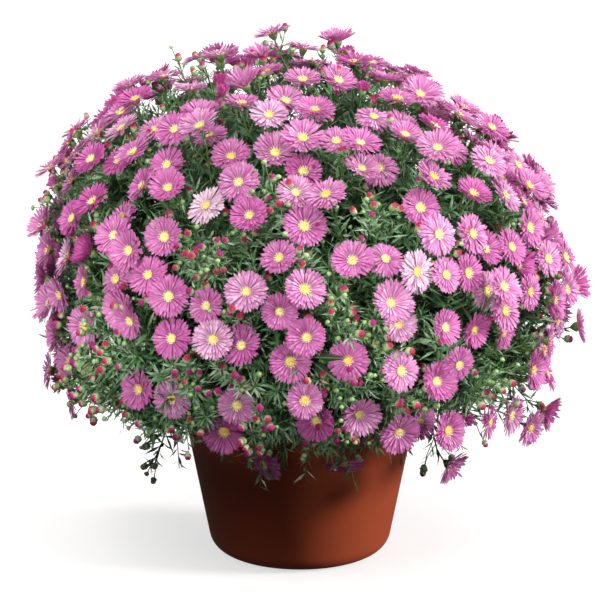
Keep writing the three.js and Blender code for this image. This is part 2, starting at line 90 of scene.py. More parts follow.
# Azimuth in degrees, height and half width of each place where leaves show between the blooms
LEAFY_WINDOWS = (
    (254, 308, 27), (264, 348, 18), (272, 308, 16), (290, 334, 20), (278, 266, 16), (288, 244, 16),
    (217, 190, 26), (220, 230, 18), (256, 196, 22), (317, 180, 30), (238, 150, 18), (228, 205, 26),
    (255, 252, 13), (277, 248, 15), (288, 224, 13), (276, 196, 14), (246, 190, 12), (262, 148, 18),
    (281, 148, 20), (300, 165, 16), (207, 166, 16), (218, 168, 22), (227, 150, 24), (245, 206, 14),
    (248, 168, 12), (257, 151, 12), (260, 172, 14), (277, 186, 22), (278, 142, 20), (284, 198, 12),
    (293, 174, 16), (281, 243, 10), (249, 281, 14), (247, 294, 14), (40, 300, 26), (75, 190, 28),
    (120, 250, 26), (160, 330, 20),
)


class Draws:
    """Park and Miller's generator, so that the plan is the same wherever it is worked out."""

    FACTOR, MODULUS = 16807, 2147483647

    def __init__(self, seed):
        self.state = seed

    def __call__(self, low=0.0, high=1.0):
        self.state = self.state * self.FACTOR % self.MODULUS
        return low + (high - low) * self.state / self.MODULUS


def unit(v):
    return v / np.linalg.norm(v, axis=-1, keepdims=True)


def dot(a, b):
    return (a * b).sum(-1)


def around(azimuth, radius, z):
    return np.array([math.cos(azimuth) * radius, math.sin(azimuth) * radius, z])


def mix(low, high, share):
    return low + (high - low) * share


def side_of(way):
    """A level way square to another."""
    up = (0.0, 0.0, 1.0) if abs(way[2]) < UPRIGHT else (1.0, 0.0, 0.0)
    return unit(np.cross(up, way))


def sideways(way, angle):
    """A way square to another, turned round it by an angle."""
    side = side_of(way)
    return side * math.cos(angle) + np.cross(way, side) * math.sin(angle)


def full_turn(count):
    """Angles spaced evenly round a circle."""
    return np.arange(count) * TURN / count


def circle_round(facing, angle):
    """Ways square to the one that a head faces, one for each angle round it."""
    side = side_of(facing)
    other = np.cross(facing, side)
    return np.cos(angle)[:, None] * side + np.sin(angle)[:, None] * other


def dome_at(azimuth, height, depth=0.0):
    """The dome's skin at a height, as a point and the way it faces, taken inwards by a depth."""
    above = height >= DOME.middle
    span = DOME.rise if above else DOME.drop
    power = BULGE.shoulder if above else BULGE.skirt
    share = min(1, abs(height - DOME.middle) / span)
    width = (1 - share**power) ** (1 / power)
    slope = (1 if above else -BULGE.downturn) * (share ** (power - 1) / span)
    facing = unit(around(azimuth, width ** (power - 1) / DOME.reach, slope))
    swell = 1 + SWELL.share * math.sin(SWELL.lobes * azimuth - height / SWELL.lean)
    point = around(azimuth, DOME.reach * swell * width, height) - facing * depth
    if above:
        point[0] += BULGE.apex_shift * share**2
    return point, facing


def plan_shoots():
    """Each stem's line, from the soil to the fork where its spray begins."""
    shoots = []
    for k in range(SHOOTS.count):
        rank = (k + 0.5) / SHOOTS.count
        azimuth = k * GOLDEN_ANGLE
        target = dome_at(azimuth, mix(DOME.top, SHOOTS.lowest_target, rank))[0]
        root = around(azimuth, mix(SHOOTS.innermost, SHOOTS.outermost, rank), SOIL.top)
        fork = mix(root, target, SHOOTS.fork)
        fork[2] = max(fork[2], SHOOTS.lowest_fork)
        bend = mix(root, fork, STEM.bend)
        bend[2] += mix(*STEM.rise, rank)
        line = (root, bend, fork)
        knots = [on_line(line, t) for t in STEM.marks]
        shoot = Group(azimuth=azimuth, target=target, line=line, knots=knots, fork=fork, heads=[])
        shoot.along = unit(fork - knots[-2])
        shoots.append(shoot)
    return shoots


def on_line(line, t):
    a, b, c = line
    return a * (1 - t) ** 2 + b * 2 * (1 - t) * t + c * t * t


def tangent_of(line, t):
    a, b, c = line
    return unit((b - a) * (1 - t) + (c - b) * t)


def on_stem(knots, t):
    """A place on a stem's own straight stretches."""
    stretches = len(knots) - 1
    stretch = min(stretches - 1, int(t * stretches))
    return mix(knots[stretch], knots[stretch + 1], t * stretches - stretch)


def stretch_gap(a0, a1, b0, b1):
    """Shortest distance from one straight stretch to each of several others."""
    points = a0 + (a1 - a0) * np.linspace(0, 1, PROBES.gap + 1)[:, None]
    way = b1 - b0
    share = np.clip(dot(points - b0[:, None], way[:, None]) / dot(way, way)[:, None], 0, 1)
    nearest = b0[:, None] + way[:, None] * share[..., None]
    return np.linalg.norm(points - nearest, axis=-1).min(1)


def holds(points, margin, centre, facing, radius, cup, boss, neck_radius):
    """Whether any of each head's points lies in its solid, or within a margin of it."""
    offset = points - centre[:, None]
    lift = dot(offset, facing[:, None])
    level = np.clip(lift, -cup[:, None], boss[:, None])
    radius, cup, boss, neck_radius = (v[:, None] for v in (radius, cup, boss, neck_radius))
    under = neck_radius + (radius - neck_radius) * (level + cup) / (EDGE_LIFT + cup)
    reach = np.where(level < EDGE_LIFT, under, radius * (boss - level) / (boss - EDGE_LIFT))
    out = np.sqrt(np.maximum(0, dot(offset, offset) - lift**2))
    return ((np.abs(lift - level) < margin) & (out < reach + margin)).any(1)


class Crowd:
    """Heads that hold their places, as arrays that a new one is tested against."""

    SHAPE = ("centre", "facing", "radius", "cup", "boss", "neck_radius")
    FIELDS = (*SHAPE, "root", "neck", "stalk", "rim", "shoot", "bud")

    def __init__(self):
        self.heads = []
        self.rows = {}

    def add(self, head):
        self.heads.append(head)
        self.rows = {field: np.array([getattr(h, field) for h in self.heads]) for field in self.FIELDS}

    def inside(self, head, field, margin, chosen):
        """Whether the head's points are in one of the others, or one of theirs in it."""
        others = [self.rows[f][chosen] for f in self.SHAPE]
        own = [np.array([getattr(head, f)]) for f in self.SHAPE]
        theirs = self.rows[field][chosen]
        return holds(getattr(head, field)[None], margin, *others) | holds(theirs, margin, *own)

    def meets(self, head):
        """Whether the head would cross one that is placed. Those of one spray may grow together a little."""
        if not self.heads:
            return False
        rows = self.rows
        apart = np.linalg.norm(rows["centre"] - head.centre, axis=1)
        touching = rows["radius"] + head.radius
        both_open = ~(rows["bud"] | head.bud)
        if (apart < np.where(both_open, GROWTH.apart, touching)).any():
            return True
        grown = (rows["shoot"] == head.shoot) & (apart > touching - SPACING.overlap)
        near = ~grown & (apart < touching + 2 * SPACING.rim)
        if near.any() and self.inside(head, "rim", SPACING.rim, near).any():
            return True
        return bool(self.inside(head, "stalk", SPACING.stalk, slice(None)).any())

    def crosses_spray(self, head):
        """Whether the head crosses one of another spray, now that its stalk has its own root."""
        other = np.array([h.shoot != head.shoot for h in self.heads], dtype=bool)
        if not other.any():
            return False
        gap = stretch_gap(head.root, head.neck, self.rows["root"][other], self.rows["neck"][other])
        least = HEADS["bloom"].neck + CLEARANCE
        return bool((gap < least).any() or self.inside(head, "stalk", SPACING.stalk, other).any())


def root_at(head, root):
    """Gives a head its stalk's root, and the points along the stalk by which crossings are found."""
    head.root = root
    head.stalk = root + (head.neck - root) * np.linspace(0, 1, PROBES.stalk + 1)[:, None]


def nearest_shoot(shoots, place):
    return min(shoots, key=lambda shoot: np.linalg.norm(shoot.target - place))


def plan_head(shoots, targets, kind, centre, facing, radius):
    """A flower head on its stalk from the axis of the nearest spray."""
    k = int(np.argmin(np.linalg.norm(targets - centre, axis=1)))
    shoot, form = shoots[k], HEADS[kind]
    head = Group(kind=kind, shoot=k, centre=centre, facing=facing, radius=radius, bud=kind == "bud")
    head.cup, head.boss, head.neck_radius = form.cup, form.boss, form.neck
    head.neck = centre - facing * form.cup
    head.rim = centre + facing * EDGE_LIFT + radius * circle_round(facing, full_turn(PROBES.rim))
    root_at(head, shoot.fork + shoot.along * RACHIS.length / 2)
    return head


def plan_heads(shoots):
    """Finds a place for every bloom, opening head and bud on the dome."""
    draw = Draws(HEAD_SEED)
    crowd = Crowd()
    targets = np.array([shoot.target for shoot in shoots])
    windows = [(dome_at(math.radians(d), height)[0], size) for d, height, size in LEAFY_WINDOWS]

    def tilt(facing, amount):
        shift = [draw(-amount, amount) for _ in range(3)]
        return unit(facing + (shift + UP * GROWTH.lift))

    def add(kind, centre, facing, radius):
        out = math.hypot(centre[0], centre[1])
        if centre[2] < POT.height + SPACING.over_rim and out < POT.rim + SPACING.past_rim:
            return False
        if kind != "bud" and any(np.linalg.norm(at - centre) < size for at, size in windows):
            return False
        head = plan_head(shoots, targets, kind, centre, facing, radius)
        if dot(unit(head.neck - head.root), facing) < GROWTH.least_turn or crowd.meets(head):
            return False
        crowd.add(head)
        return True

    placed = dict.fromkeys(HEADS, 0)
    for kind, places in MARKED_HEADS.items():
        for degrees, radius, height in places:
            azimuth = math.radians(degrees)
            place = around(azimuth, radius, height)
            outward = dome_at(azimuth, max(height, DOME.lowest))[1]
            stalk_way = unit(place - nearest_shoot(shoots, place).fork)
            facing = tilt(unit(outward + stalk_way * GROWTH.with_stalk), GROWTH.marked_tilt)
            placed[kind] += add(kind, place, facing, mix(*HEADS[kind].radius, MARKED_SIZE))
    for kind, form in HEADS.items():
        for _ in range(GROWTH.tries):
            if placed[kind] >= form.count:
                break
            azimuth = draw(0, TURN)
            height = draw(DOME.lowest, DOME.top)
            layer = 0 if draw() < LAYERS.outer_share else 1
            depth = draw(*LAYERS.bud_depth) if kind == "bud" else LAYERS.depth[layer]
            centre, facing = dome_at(azimuth, height, depth + draw(-LAYERS.jitter, LAYERS.jitter))
            facing = tilt(facing, GROWTH.tilt)
            placed[kind] += add(kind, centre, facing, draw(*form.radius))

    for head in crowd.heads:
        shoots[head.shoot].heads.append(head)
    for shoot in shoots:
        shoot.heads.sort(key=lambda head: dot(unit(head.centre - shoot.fork), shoot.along))
        for i, head in enumerate(shoot.heads):
            up = RACHIS.length * (i + 1) / (len(shoot.heads) + 1)
            root_at(head, shoot.fork + shoot.along * up)
    kept = Crowd()
    for head in crowd.heads:
        if not kept.crosses_spray(head):
            kept.add(head)
    for k, shoot in enumerate(shoots):
        shoot.heads = [head for head in kept.heads if head.shoot == k]


def points_of(mesh):
    """The points of a mesh, in millimetres."""
    points = np.zeros(len(mesh.vertices) * 3, np.float32)
    mesh.vertices.foreach_get("co", points)
    return points.reshape(-1, 3) / MM


def plan_leaves(shoots):
    """The leaves and leafy twigs of each stem's solid: those whose tips are among its corners."""
    draw = Draws(LEAF_SEED)
    for k, shoot in enumerate(shoots):
        corners = points_of(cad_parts[f"leafy_stem_{k + 1:02d}"].data)
        shoot.leaves, shoot.twigs = [], []

        def is_kept(tip):
            return np.linalg.norm(corners - tip, axis=1).min() < SAME_PLACE

        def add_leaf(root, way):
            length = draw(*LEAF.length)
            if is_kept(root + way * length):
                shoot.leaves.append((root, way, length))

        for i, t in enumerate(np.linspace(*LEAF_PLACES.stem, LEAF.on_stem)):
            tangent = tangent_of(shoot.line, t)
            out = sideways(tangent, i * GOLDEN_ANGLE)
            add_leaf(on_stem(shoot.knots, t), unit(out + tangent * LEAF_PLACES.lean))
        for w, t in enumerate(np.linspace(*TWIG.start, TWIG.count)):
            root = on_stem(shoot.knots, t)
            spread = draw(*TWIG.spread)
            aim = shoot.target + sideways(shoot.along, w * TWIG.turn + shoot.azimuth) * spread
            reach = np.linalg.norm(shoot.target - root) * draw(*TWIG.reach)
            way = unit(aim - root)
            tip = root + way * reach
            if not is_kept(tip + way):
                continue
            shoot.twigs.append((root, tip))
            places = np.linspace(*LEAF_PLACES.twig, LEAF.on_twig)
            leans = np.linspace(*LEAF_PLACES.twig_lean, LEAF.on_twig)
            for i, (place, lean) in enumerate(zip(places, leans)):
                add_leaf(mix(root, tip, place), unit(sideways(way, i * LEAF_PLACES.turn + w) + way * lean))


class Skin:
    """Points and triangles of one piece, with what its materials read: the place across and along a blade,
    a number that tells blades apart, and how pale it is."""

    def __init__(self):
        self.points, self.faces, self.kinds, self.blade, self.tone = [], [], [], [], []
        self.count = 0

    def add(self, points, faces, kind, across, along, seed, tone):
        total = len(points)
        self.points.append(points)
        self.faces.append(faces + self.count)
        self.kinds.append(np.full(len(faces), kind))
        self.blade.append(np.stack([np.broadcast_to(v, total) for v in (across, along, seed)], 1))
        self.tone.append(np.broadcast_to(tone, total).astype(float))
        self.count += total

    def make(self, name, materials):
        mesh = bpy.data.meshes.new(name)
        mesh.from_pydata(np.concatenate(self.points) * MM, [], np.concatenate(self.faces))
        mesh.shade_smooth()
        mesh.polygons.foreach_set("material_index", np.concatenate(self.kinds).astype(np.int32))
        blade = mesh.attributes.new("blade", "FLOAT_VECTOR", "POINT")
        blade.data.foreach_set("vector", np.concatenate(self.blade).astype(np.float32).ravel())
        tone = mesh.attributes.new("tone", "FLOAT", "POINT")
        tone.data.foreach_set("value", np.concatenate(self.tone).astype(np.float32))
        for material in materials:
            mesh.materials.append(material)
        mesh.validate()
        piece = bpy.data.objects.new(name, mesh)
        bpy.context.scene.collection.objects.link(piece)
        return piece


def strip_faces(stations, lines):
    """Triangles of one side of a blade: its root, a row of points from left to right at each station, its tip."""
    pairs = [(line, line + 1) for line in range(lines - 1, 0, -1)]
    faces = [(0, right, left) for left, right in pairs]
    last, tip = lines * (stations - 1), lines * stations + 1
    for a in range(0, last, lines):
        b = a + lines
        for left, right in pairs:
            faces += [(left + a, right + a, right + b), (left + a, right + b, left + b)]
    return np.array(faces + [(right + last, tip, left + last) for left, right in pairs])


# Stations along a blade, and its half width at each as a share of the widest
RAY = ((0.4, 0.86), (0.76, 1.0))
PETAL = ((0.8,), (1.0,))
LANCE = ((0.3, 0.66), (0.95, 0.8))
SCALE = ((0.42,), (1.0,))

# The least bend of a blade, and how far a leaf's middle lies over its edges or under them, by its half width
LEAST_BEND, RIDGE, KEEL = 1e-3, 0.28, -0.28
OTHER_WAY_ROUND = (0, 2, 1)


def blades(skin, kind, outline, root, way, over, length, width, bend, fold, thick, tone, rng):
    """Rays, bracts and leaves as thin closed blades, bent by an angle and folded along the middle. One with a
    keel has it on its underside too, and the underside of the others goes flat from edge to edge."""
    count, stations = len(root), len(outline[0])
    marks = np.array((0.0, *outline[0], 1.0))
    shares = np.array((0.0, *outline[1], 0.0))
    length, width, bend, tone = (np.broadcast_to(v, count)[:, None] for v in (length, width, bend, tone))
    bend = np.where(np.abs(bend) < LEAST_BEND, LEAST_BEND, bend)
    over = unit(over - way * dot(over, way)[:, None])[:, None]
    way = way[:, None]
    side = np.cross(way, over)
    angle = (bend * marks)[..., None]
    reach = (length / bend)[..., None]
    spine = root[:, None] + way * reach * np.sin(angle) + over * reach * (1 - np.cos(angle))
    normal = over * np.cos(angle) - way * np.sin(angle)
    half = (width / 2 * shares)[..., None]
    rib = spine + normal * half * fold
    left, right = spine - side * half, spine + side * half

    def one_side(*lines):
        """Its points, their places across and along, and its triangles."""
        inner = np.stack(lines, 2)[:, 1:-1].reshape(count, -1, 3)
        across = [0, *np.tile(np.linspace(-1, 1, len(lines)), stations), 0]
        along = [0, *np.repeat(outline[0], len(lines)), 1]
        faces = strip_faces(stations, len(lines))
        return np.concatenate([spine[:, :1], inner, spine[:, -1:]], 1), across, along, faces

    above = one_side(left, rib, right)
    below = one_side(left, rib - normal * thick, right) if fold < 0 else one_side(left, right)
    points = np.concatenate([above[0], below[0]], 1)
    across, along = (np.tile([*above[i], *below[i]], count) for i in (1, 2))
    faces = np.concatenate([above[3], below[3][:, OTHER_WAY_ROUND] + above[0].shape[1]])
    each = points.shape[1]
    faces = faces + (np.arange(count) * each)[:, None, None]
    seed, tone = np.repeat(rng.random(count), each), np.repeat(tone[:, 0], each)
    skin.add(points.reshape(-1, 3), faces.reshape(-1, 3), kind, across, along, seed, tone)


def round_skin(skin, kind, path, rings, tone, seed=0.5):
    """A closed skin over rings of points, with the ends of their path as its ends."""
    rows, sides = rings.shape[:2]
    j = np.arange(sides)
    after = (j + 1) % sides
    start = np.stack([np.zeros_like(j), after + 1, j + 1], 1)
    low = 1 + np.arange(rows - 1)[:, None] * sides
    a, b, c, d = low + j, low + after, low + sides + after, low + sides + j
    walls = np.concatenate([np.stack([a, b, c], -1), np.stack([a, c, d], -1)]).reshape(-1, 3)
    last = 1 + (rows - 1) * sides
    end = np.stack([np.full_like(j, last + sides), last + j, last + after], 1)
    points = np.concatenate([path[:1], rings.reshape(-1, 3), path[-1:]])
    across = [0, *np.tile(j / sides, rows), 0]
    along = [0, *np.repeat(np.linspace(0, 1, rows), sides), 1]
    skin.add(points, np.concatenate([start, walls, end]), kind, across, along, seed, tone)


def tube(skin, kind, path, radii, sides, tone, seed=0.5):
    """A closed round form along a path, from stalks to cups and bud tips."""
    path, radii = np.asarray(path), np.asarray(radii, float)
    way = unit(np.gradient(path, axis=0))
    side = side_of(way[0])
    across = unit(side - way * dot(way, side)[:, None])[:, None]
    other = np.cross(way[:, None], across)
    angle = full_turn(sides)[None, :, None]
    rings = path[:, None] + radii[:, None, None] * (across * np.cos(angle) + other * np.sin(angle))
    round_skin(skin, kind, path, rings, tone, seed)


def turned(skin, kind, base, axis, profile, height, radius, sides, tone, seed=0.5):
    """A round form about an axis, from heights and radii that are shares of its own."""
    heights, radii = np.array(profile, float).T
    tube(skin, kind, base + axis * (heights * height)[:, None], radii * radius, sides, tone, seed)


def roll_over(way, over, roll):
    """The upper side of a blade, rolled about its length."""
    return over * np.cos(roll)[:, None] + np.cross(way, over) * np.sin(roll)[:, None]


# How far the blades of one ring differ, and what the steepest still spans and each one's thickness are
UNEVEN = Group(turn=0.22, rise=4, roll=0.13, longest=1.03, width=(0.85, 1.12), bend=0.12, tone=0.075)
LEAST_RUN, RAY_THICK = 0.35, 0.16


def whorl(skin, kind, outline, head, rng, count, ring, lift, reach, rise, width, bend, fold, tone, least=0.9):
    """A ring of blades round a head, each a little out of line with the rest."""
    facing = head.facing
    angle = (np.arange(count) + rng.random() + rng.uniform(-UNEVEN.turn, UNEVEN.turn, count)) * TURN / count
    out = circle_round(facing, angle)
    rise = np.radians(rise + rng.normal(0, UNEVEN.rise, count))[:, None]
    way = out * np.cos(rise) + facing * np.sin(rise)
    over = roll_over(way, facing * np.cos(rise) - out * np.sin(rise), rng.normal(0, UNEVEN.roll, count))
    root = head.centre + out * ring + facing * lift
    run = np.maximum(LEAST_RUN, np.cos(rise[:, 0]))
    length = (reach - ring) / run * rng.uniform(least, UNEVEN.longest, count)
    width = width * rng.uniform(*UNEVEN.width, count)
    bend = bend + rng.normal(0, UNEVEN.bend, count)
    tone = tone + rng.normal(0, UNEVEN.tone, count)
    blades(skin, kind, outline, root, way, over, length, width, bend, fold, RAY_THICK, tone, rng)


# Which material of a flower piece or of a green piece a triangle has
RAYS, DISC, TIP = 0, 1, 2
STALK, BLADE = 0, 1

# Sides round each kind of round form, and how pale each kind of green one is
SIDES = Group(stem=8, axis=7, stalk=4, inner=4, twig=3, eye=8, cup=7, bud=6)
PALE = Group(stem=0.15, axis=0.3, stalk=0.42, inner=0.2, twig=0.45, branchlet=0.5, leaflet=0.6)

# The yellow eye's heights and radii, and the florets on it, each on three corners
EYE = ((-1.0, 0.8), (0.4, 1.0), (0.9, 0.74), (1.1, 0.3))
FLORET = Group(count=26, top=0.95, fall=0.7, lean=0.7, size=0.2, height=0.9, outer=0.6)
FLORET_FOOT = ((1, 0), (-0.5, 0.87), (-0.5, -0.87))


def disc(skin, head, radius, rng, ripe):
    """The yellow eye: a low dome closely set with small florets."""
    centre, facing, count = head.centre, head.facing, FLORET.count
    turned(skin, DISC, centre, facing, EYE, 1, radius, SIDES.eye, ripe)
    place = np.arange(count) + 0.5
    share = np.sqrt(place / count)
    out = circle_round(facing, place * GOLDEN_ANGLE)
    across = np.cross(facing, out)
    up = (FLORET.top - FLORET.fall * share**2)[:, None]
    foot = centre + out * (radius * share)[:, None] + facing * up
    lean = unit(facing + out * (FLORET.lean * share)[:, None])
    corners = [foot + (out * a + across * b) * (radius * FLORET.size) for a, b in FLORET_FOOT]
    tip = foot + lean * (FLORET.height + FLORET.outer * share * rng.random(count))[:, None]
    points = np.stack([*corners, tip], 1).reshape(-1, 3)
    sides = np.array([(0, 1, 3), (1, 2, 3), (2, 0, 3), (2, 1, 0)])
    faces = (sides[None] + (np.arange(count) * 4)[:, None, None]).reshape(-1, 3)
    seed = np.repeat(rng.random(count), 4)
    skin.add(points, faces, DISC, np.tile([0.0, 0.0, 0.0, 1.0], count), np.repeat(share, 4), seed, ripe)


# The calyx under a head, with rows of bracts by count, place out and place up
CUP = Group(foot=0.7, flare=1.6, belly=0.72, levels=(0.12, 0.4, 0.9), rows=((5, 0.45, 0.2), (7, 0.78, 0.45)))
BRACT = dict(rise=52, width=1.5, bend=0.4, fold=0.2)
BRACT_REACH = 1.6


def cup(skin, head, rng, rim, height, tone):
    """The green calyx cup under a head, with two rows of small bracts."""
    base = Group(centre=head.centre - head.facing * height, facing=head.facing)
    low, middle, high = (height * level for level in CUP.levels)
    profile = ((0, CUP.foot), (low, CUP.flare), (middle, rim * CUP.belly), (high, rim))
    turned(skin, STALK, base.centre, base.facing, profile, 1, 1, SIDES.cup, tone)
    for count, out, up in CUP.rows:
        ring = rim * out
        whorl(skin, BLADE, SCALE, base, rng, count, ring, height * up, ring + BRACT_REACH, tone=tone + 0.1, **BRACT)


# An open head: its size over the solid's, its eye and ray width as shares of its radius, and the mean and
# spread of its rise in degrees, its tone and its bend
BLOOM = Group(size=1.07, eye=(0.2, 0.25), width=0.122, rise=(7, 6), tone=(0.49, 0.09), bend=(0.1, 0.2))
FRESH = Group(below=0.1, rise=22)
DEEP = Group(below=0.16, tone=0.14)
FADED = Group(above=0.95, tone=0.2)

# Rings of rays: outline, count, foot as a share of the eye, lift, reach, rise, width and how much paler
RAY_RINGS = (
    (RAY, 40, 0.85, -0.4, 1.0, 0, 1.05, 0.0),
    (PETAL, 36, 0.8, 0.1, 0.93, 6, 1.0, 0.03),
    (PETAL, 24, 0.75, 0.5, 0.7, 14, 0.9, 0.1),
)
CREAM_RING = dict(count=14, lift=0.5, rise=30, width=1.3, bend=0.2, fold=0.12, tone=0.95)


def bloom(flowers, greens, head, rng):
    """An open flower head: whorls of rays round the disc, on its calyx cup."""
    radius = head.radius * BLOOM.size
    age = rng.random()
    open_up = rng.normal(*BLOOM.rise) + (FRESH.rise if age < FRESH.below else 0)
    tone = rng.normal(*BLOOM.tone) + (FADED.tone if age > FADED.above else 0)
    tone -= DEEP.tone if age < DEEP.below else 0
    eye = radius * rng.uniform(*BLOOM.eye)
    bend = rng.normal(*BLOOM.bend)
    for outline, count, ring, lift, reach, rise, share, paler in RAY_RINGS:
        size = dict(ring=eye * ring, lift=lift, reach=radius * reach, width=BLOOM.width * radius * share)
        form = dict(rise=open_up + rise, bend=bend - rise * 0.006, fold=0.16, tone=tone + paler, least=0.94)
        whorl(flowers, RAYS, outline, head, rng, count, **size, **form)
    whorl(flowers, RAYS, SCALE, head, rng, ring=eye * 0.8, reach=eye * 1.35, **CREAM_RING)
    disc(flowers, head, eye, rng, rng.random())
    cup(greens, head, rng, eye * 1.05, head.cup, 0.45)


# Rings of a half-open head: count, foot, lift, reach, rise and how much paler
BRUSH_RINGS = ((20, 0.4, 0.0, 1.0, 42, 0.1), (18, 0.3, 0.8, 0.85, 56, 0.05), (12, 0.15, 1.0, 0.5, 70, 0.0))
BRUSH = dict(width=1.9, bend=0.35, fold=0.2)


def opening(flowers, greens, head, rng):
    """A half-open head: a deep-coloured brush of rays that have not spread yet."""
    radius = head.radius
    tone = rng.uniform(0.0, 0.25)
    for count, ring, lift, reach, rise, paler in BRUSH_RINGS:
        ring, reach, tint = radius * ring, radius * reach, tone + paler
        whorl(flowers, RAYS, RAY, head, rng, count, ring, lift, reach, rise, tone=tint, **BRUSH)
    disc(flowers, head, radius * 0.3, rng, 0.9)
    cup(greens, head, rng, radius * 0.46, head.cup, 0.5)


# Levels and radii of a bud's cup, open and shut, and of its tip, as shares, and rows of bracts
OPEN_CUP = ((0, 0.25), (0.14, 0.74), (0.5, 1.0), (1.0, 0.84))
SHUT_CUP = ((0, 0.25), (0.18, 0.78), (0.55, 1.0), (0.9, 0.66), (1.08, 0.16))
BUD_TIP = ((-0.1, 0.86), (0.12, 0.9), (0.45, 0.84), (0.78, 0.56), (0.98, 0.2))
BUD = Group(rows=((4, 0.72, 0.1), (6, 0.95, 0.4)), bract=0.22, length=(1.25, 1.6), tip=(0.7, 1.2))


def bud(flowers, greens, base, facing, size, rng, shut):
    """A bud on the end of its stalk: a scaly green cup with the furled rays showing at its tip."""
    length = size * rng.uniform(*BUD.length)
    tone = rng.uniform(0.6, 0.95)
    turned(greens, STALK, base, facing, SHUT_CUP if shut else OPEN_CUP, length, size, SIDES.bud, tone)
    head = Group(centre=base, facing=facing)
    bracts = dict(rise=74, width=size * 0.6, bend=0.5, fold=0.2, tone=tone)
    for count, ring, lift in BUD.rows:
        reach = size * (ring + BUD.bract)
        whorl(greens, BLADE, SCALE, head, rng, count, size * ring, length * lift, reach, **bracts)
    if not shut:
        height = size * rng.uniform(*BUD.tip)
        turned(flowers, TIP, base + facing * length, facing, BUD_TIP, height, size, SIDES.bud, 0.5, rng.random())


def bowed(root, neck, facing, droop=0.25, steps=6):
    """A stalk's line, which comes into its head along the way that the head faces."""
    t = np.linspace(0, 1, steps)[:, None]
    span = np.linalg.norm(neck - root)
    first = mix(root, neck, 0.34)
    second = neck - facing * min(14, span * droop)
    return root * (1 - t) ** 3 + first * 3 * (1 - t) ** 2 * t + second * 3 * (1 - t) * t**2 + neck * t**3


def place_on(path, t):
    """A point of a path and the way it runs there."""
    at = t * (len(path) - 1)
    i = min(len(path) - 2, int(at))
    return mix(path[i], path[i + 1], at - i), unit(path[i + 1] - path[i])


# How far the leaves of one twig differ, the lean in degrees
VARIED = Group(place=0.02, lean=(34, 66), length=(0.75, 1.2), width=(0.8, 1.25))
VARIED.bend, VARIED.roll, VARIED.tone = (-0.9, 0.3), 0.5, 0.16
LEAF_THICK, PALEST = 0.3, 1.2


def leaves_along(skin, path, rng, count, span, length, slim, tone, outline=SCALE, fold=RIDGE):
    """Lance-shaped leaves set round a stalk or twig, shorter towards its end."""
    roots, ways, overs = [], [], []
    first = rng.uniform(0, TURN)
    marks = np.linspace(*span, count) + rng.uniform(-VARIED.place, VARIED.place, count)
    for i, t in enumerate(marks):
        at, tangent = place_on(path, min(1, max(0, t)))
        out = sideways(tangent, first + i * GOLDEN_ANGLE)
        lean = math.radians(rng.uniform(*VARIED.lean))
        roots.append(at)
        ways.append(unit(tangent * math.cos(lean) + out * math.sin(lean)))
        overs.append(unit(tangent * math.sin(lean) - out * math.cos(lean)))
    share = (marks - span[0]) / (span[1] - span[0])
    size = mix(*length, share) * rng.uniform(*VARIED.length, count)
    roots, ways, overs = np.array(roots), np.array(ways), np.array(overs)
    overs = roll_over(ways, overs, rng.normal(0, VARIED.roll, count))
    width = size * slim * rng.uniform(*VARIED.width, count)
    bend = rng.uniform(*VARIED.bend, count)
    tone = np.clip(tone + rng.normal(0, VARIED.tone, count), 0, PALEST)
    blades(skin, BLADE, outline, roots, ways, overs, size, width, bend, fold, LEAF_THICK, tone, rng)


def open_faces(shoots):
    """Where the open heads are and how they face, as arrays."""
    heads = [head for shoot in shoots for head in shoot.heads if head.kind == "bloom"]
    return [np.array([getattr(head, field) for head in heads]) for field in ("centre", "facing", "radius")]


def hides_face(faces, place, depth=45):
    """Whether a bud or a sprig that ends here would stand in front of an open head."""
    centre, facing, radius = faces
    away = place - centre
    height = dot(away, facing)
    aside = np.linalg.norm(away - facing * height[:, None], axis=1)
    return bool(((height > 0) & (height < depth) & (aside < radius)).any())


# A side bud and its branchlet, with leaves by count, span, lengths and slimness
SIDE_BUD = Group(out=(0.45, 0.9), up=0.15, reach=(12, 24), size=(2.5, 3.6), shut=0.72, along=0.8, droop=0.4)
BRANCHLET = Group(radius=(0.5, 0.42), steps=4, leaves=(4, (0.25, 0.85), (11, 6), 0.2))


def side_bud(flowers, greens, path, t, rng, shut, faces):
    """A short leafy branchlet that leaves a stalk and ends in a bud, where it leaves the blooms in sight."""
    at, tangent = place_on(path, t)
    out = sideways(tangent, rng.uniform(0, TURN))
    way = unit(tangent + out * rng.uniform(*SIDE_BUD.out) + UP * SIDE_BUD.up)
    end = at + way * rng.uniform(*SIDE_BUD.reach)
    if hides_face(faces, end):
        return
    line = bowed(at, end, unit(way + tangent * SIDE_BUD.along), SIDE_BUD.droop, BRANCHLET.steps)
    tube(greens, STALK, line, np.linspace(*BRANCHLET.radius, BRANCHLET.steps), SIDES.twig, PALE.branchlet)
    leaves_along(greens, line, rng, *BRANCHLET.leaves, PALE.leaflet)
    size = rng.uniform(*SIDE_BUD.size) * (SIDE_BUD.shut if shut else 1)
    bud(flowers, greens, line[-1], unit(line[-1] - line[-2]), size, rng, shut)


def leafy_twig(skin, path, rng, count, length, tone, radius=(0.8, 0.4), span=(0.12, 0.98), slim=0.15):
    tube(skin, STALK, path, np.linspace(*radius, len(path)), SIDES.twig, PALE.twig)
    leaves_along(skin, path, rng, count, span, length, slim, tone)


def arc(a, b, c, steps=7):
    return np.array([on_line((a, b, c), t) for t in np.linspace(0, 1, steps)])


# A flower stalk, and its leaves near the root and further out: pitch, least count, span, lengths, slimness and
# share of the tone. A long stalk has side buds
STALK_FORM = Group(radius=(0.9, 0.6), tone=(0.15, 0.6), long=34, buds=(2, 5), bud_place=(0.55, 0.88), shut=0.42)
STALK_LEAVES = ((15, 2, (0.15, 0.5), (30, 24), 0.2, 0.6), (5, 5, (0.45, 0.96), (21, 9), 0.16, 1))
AXIS_STEPS, BUD_SIZE = 5, 0.85


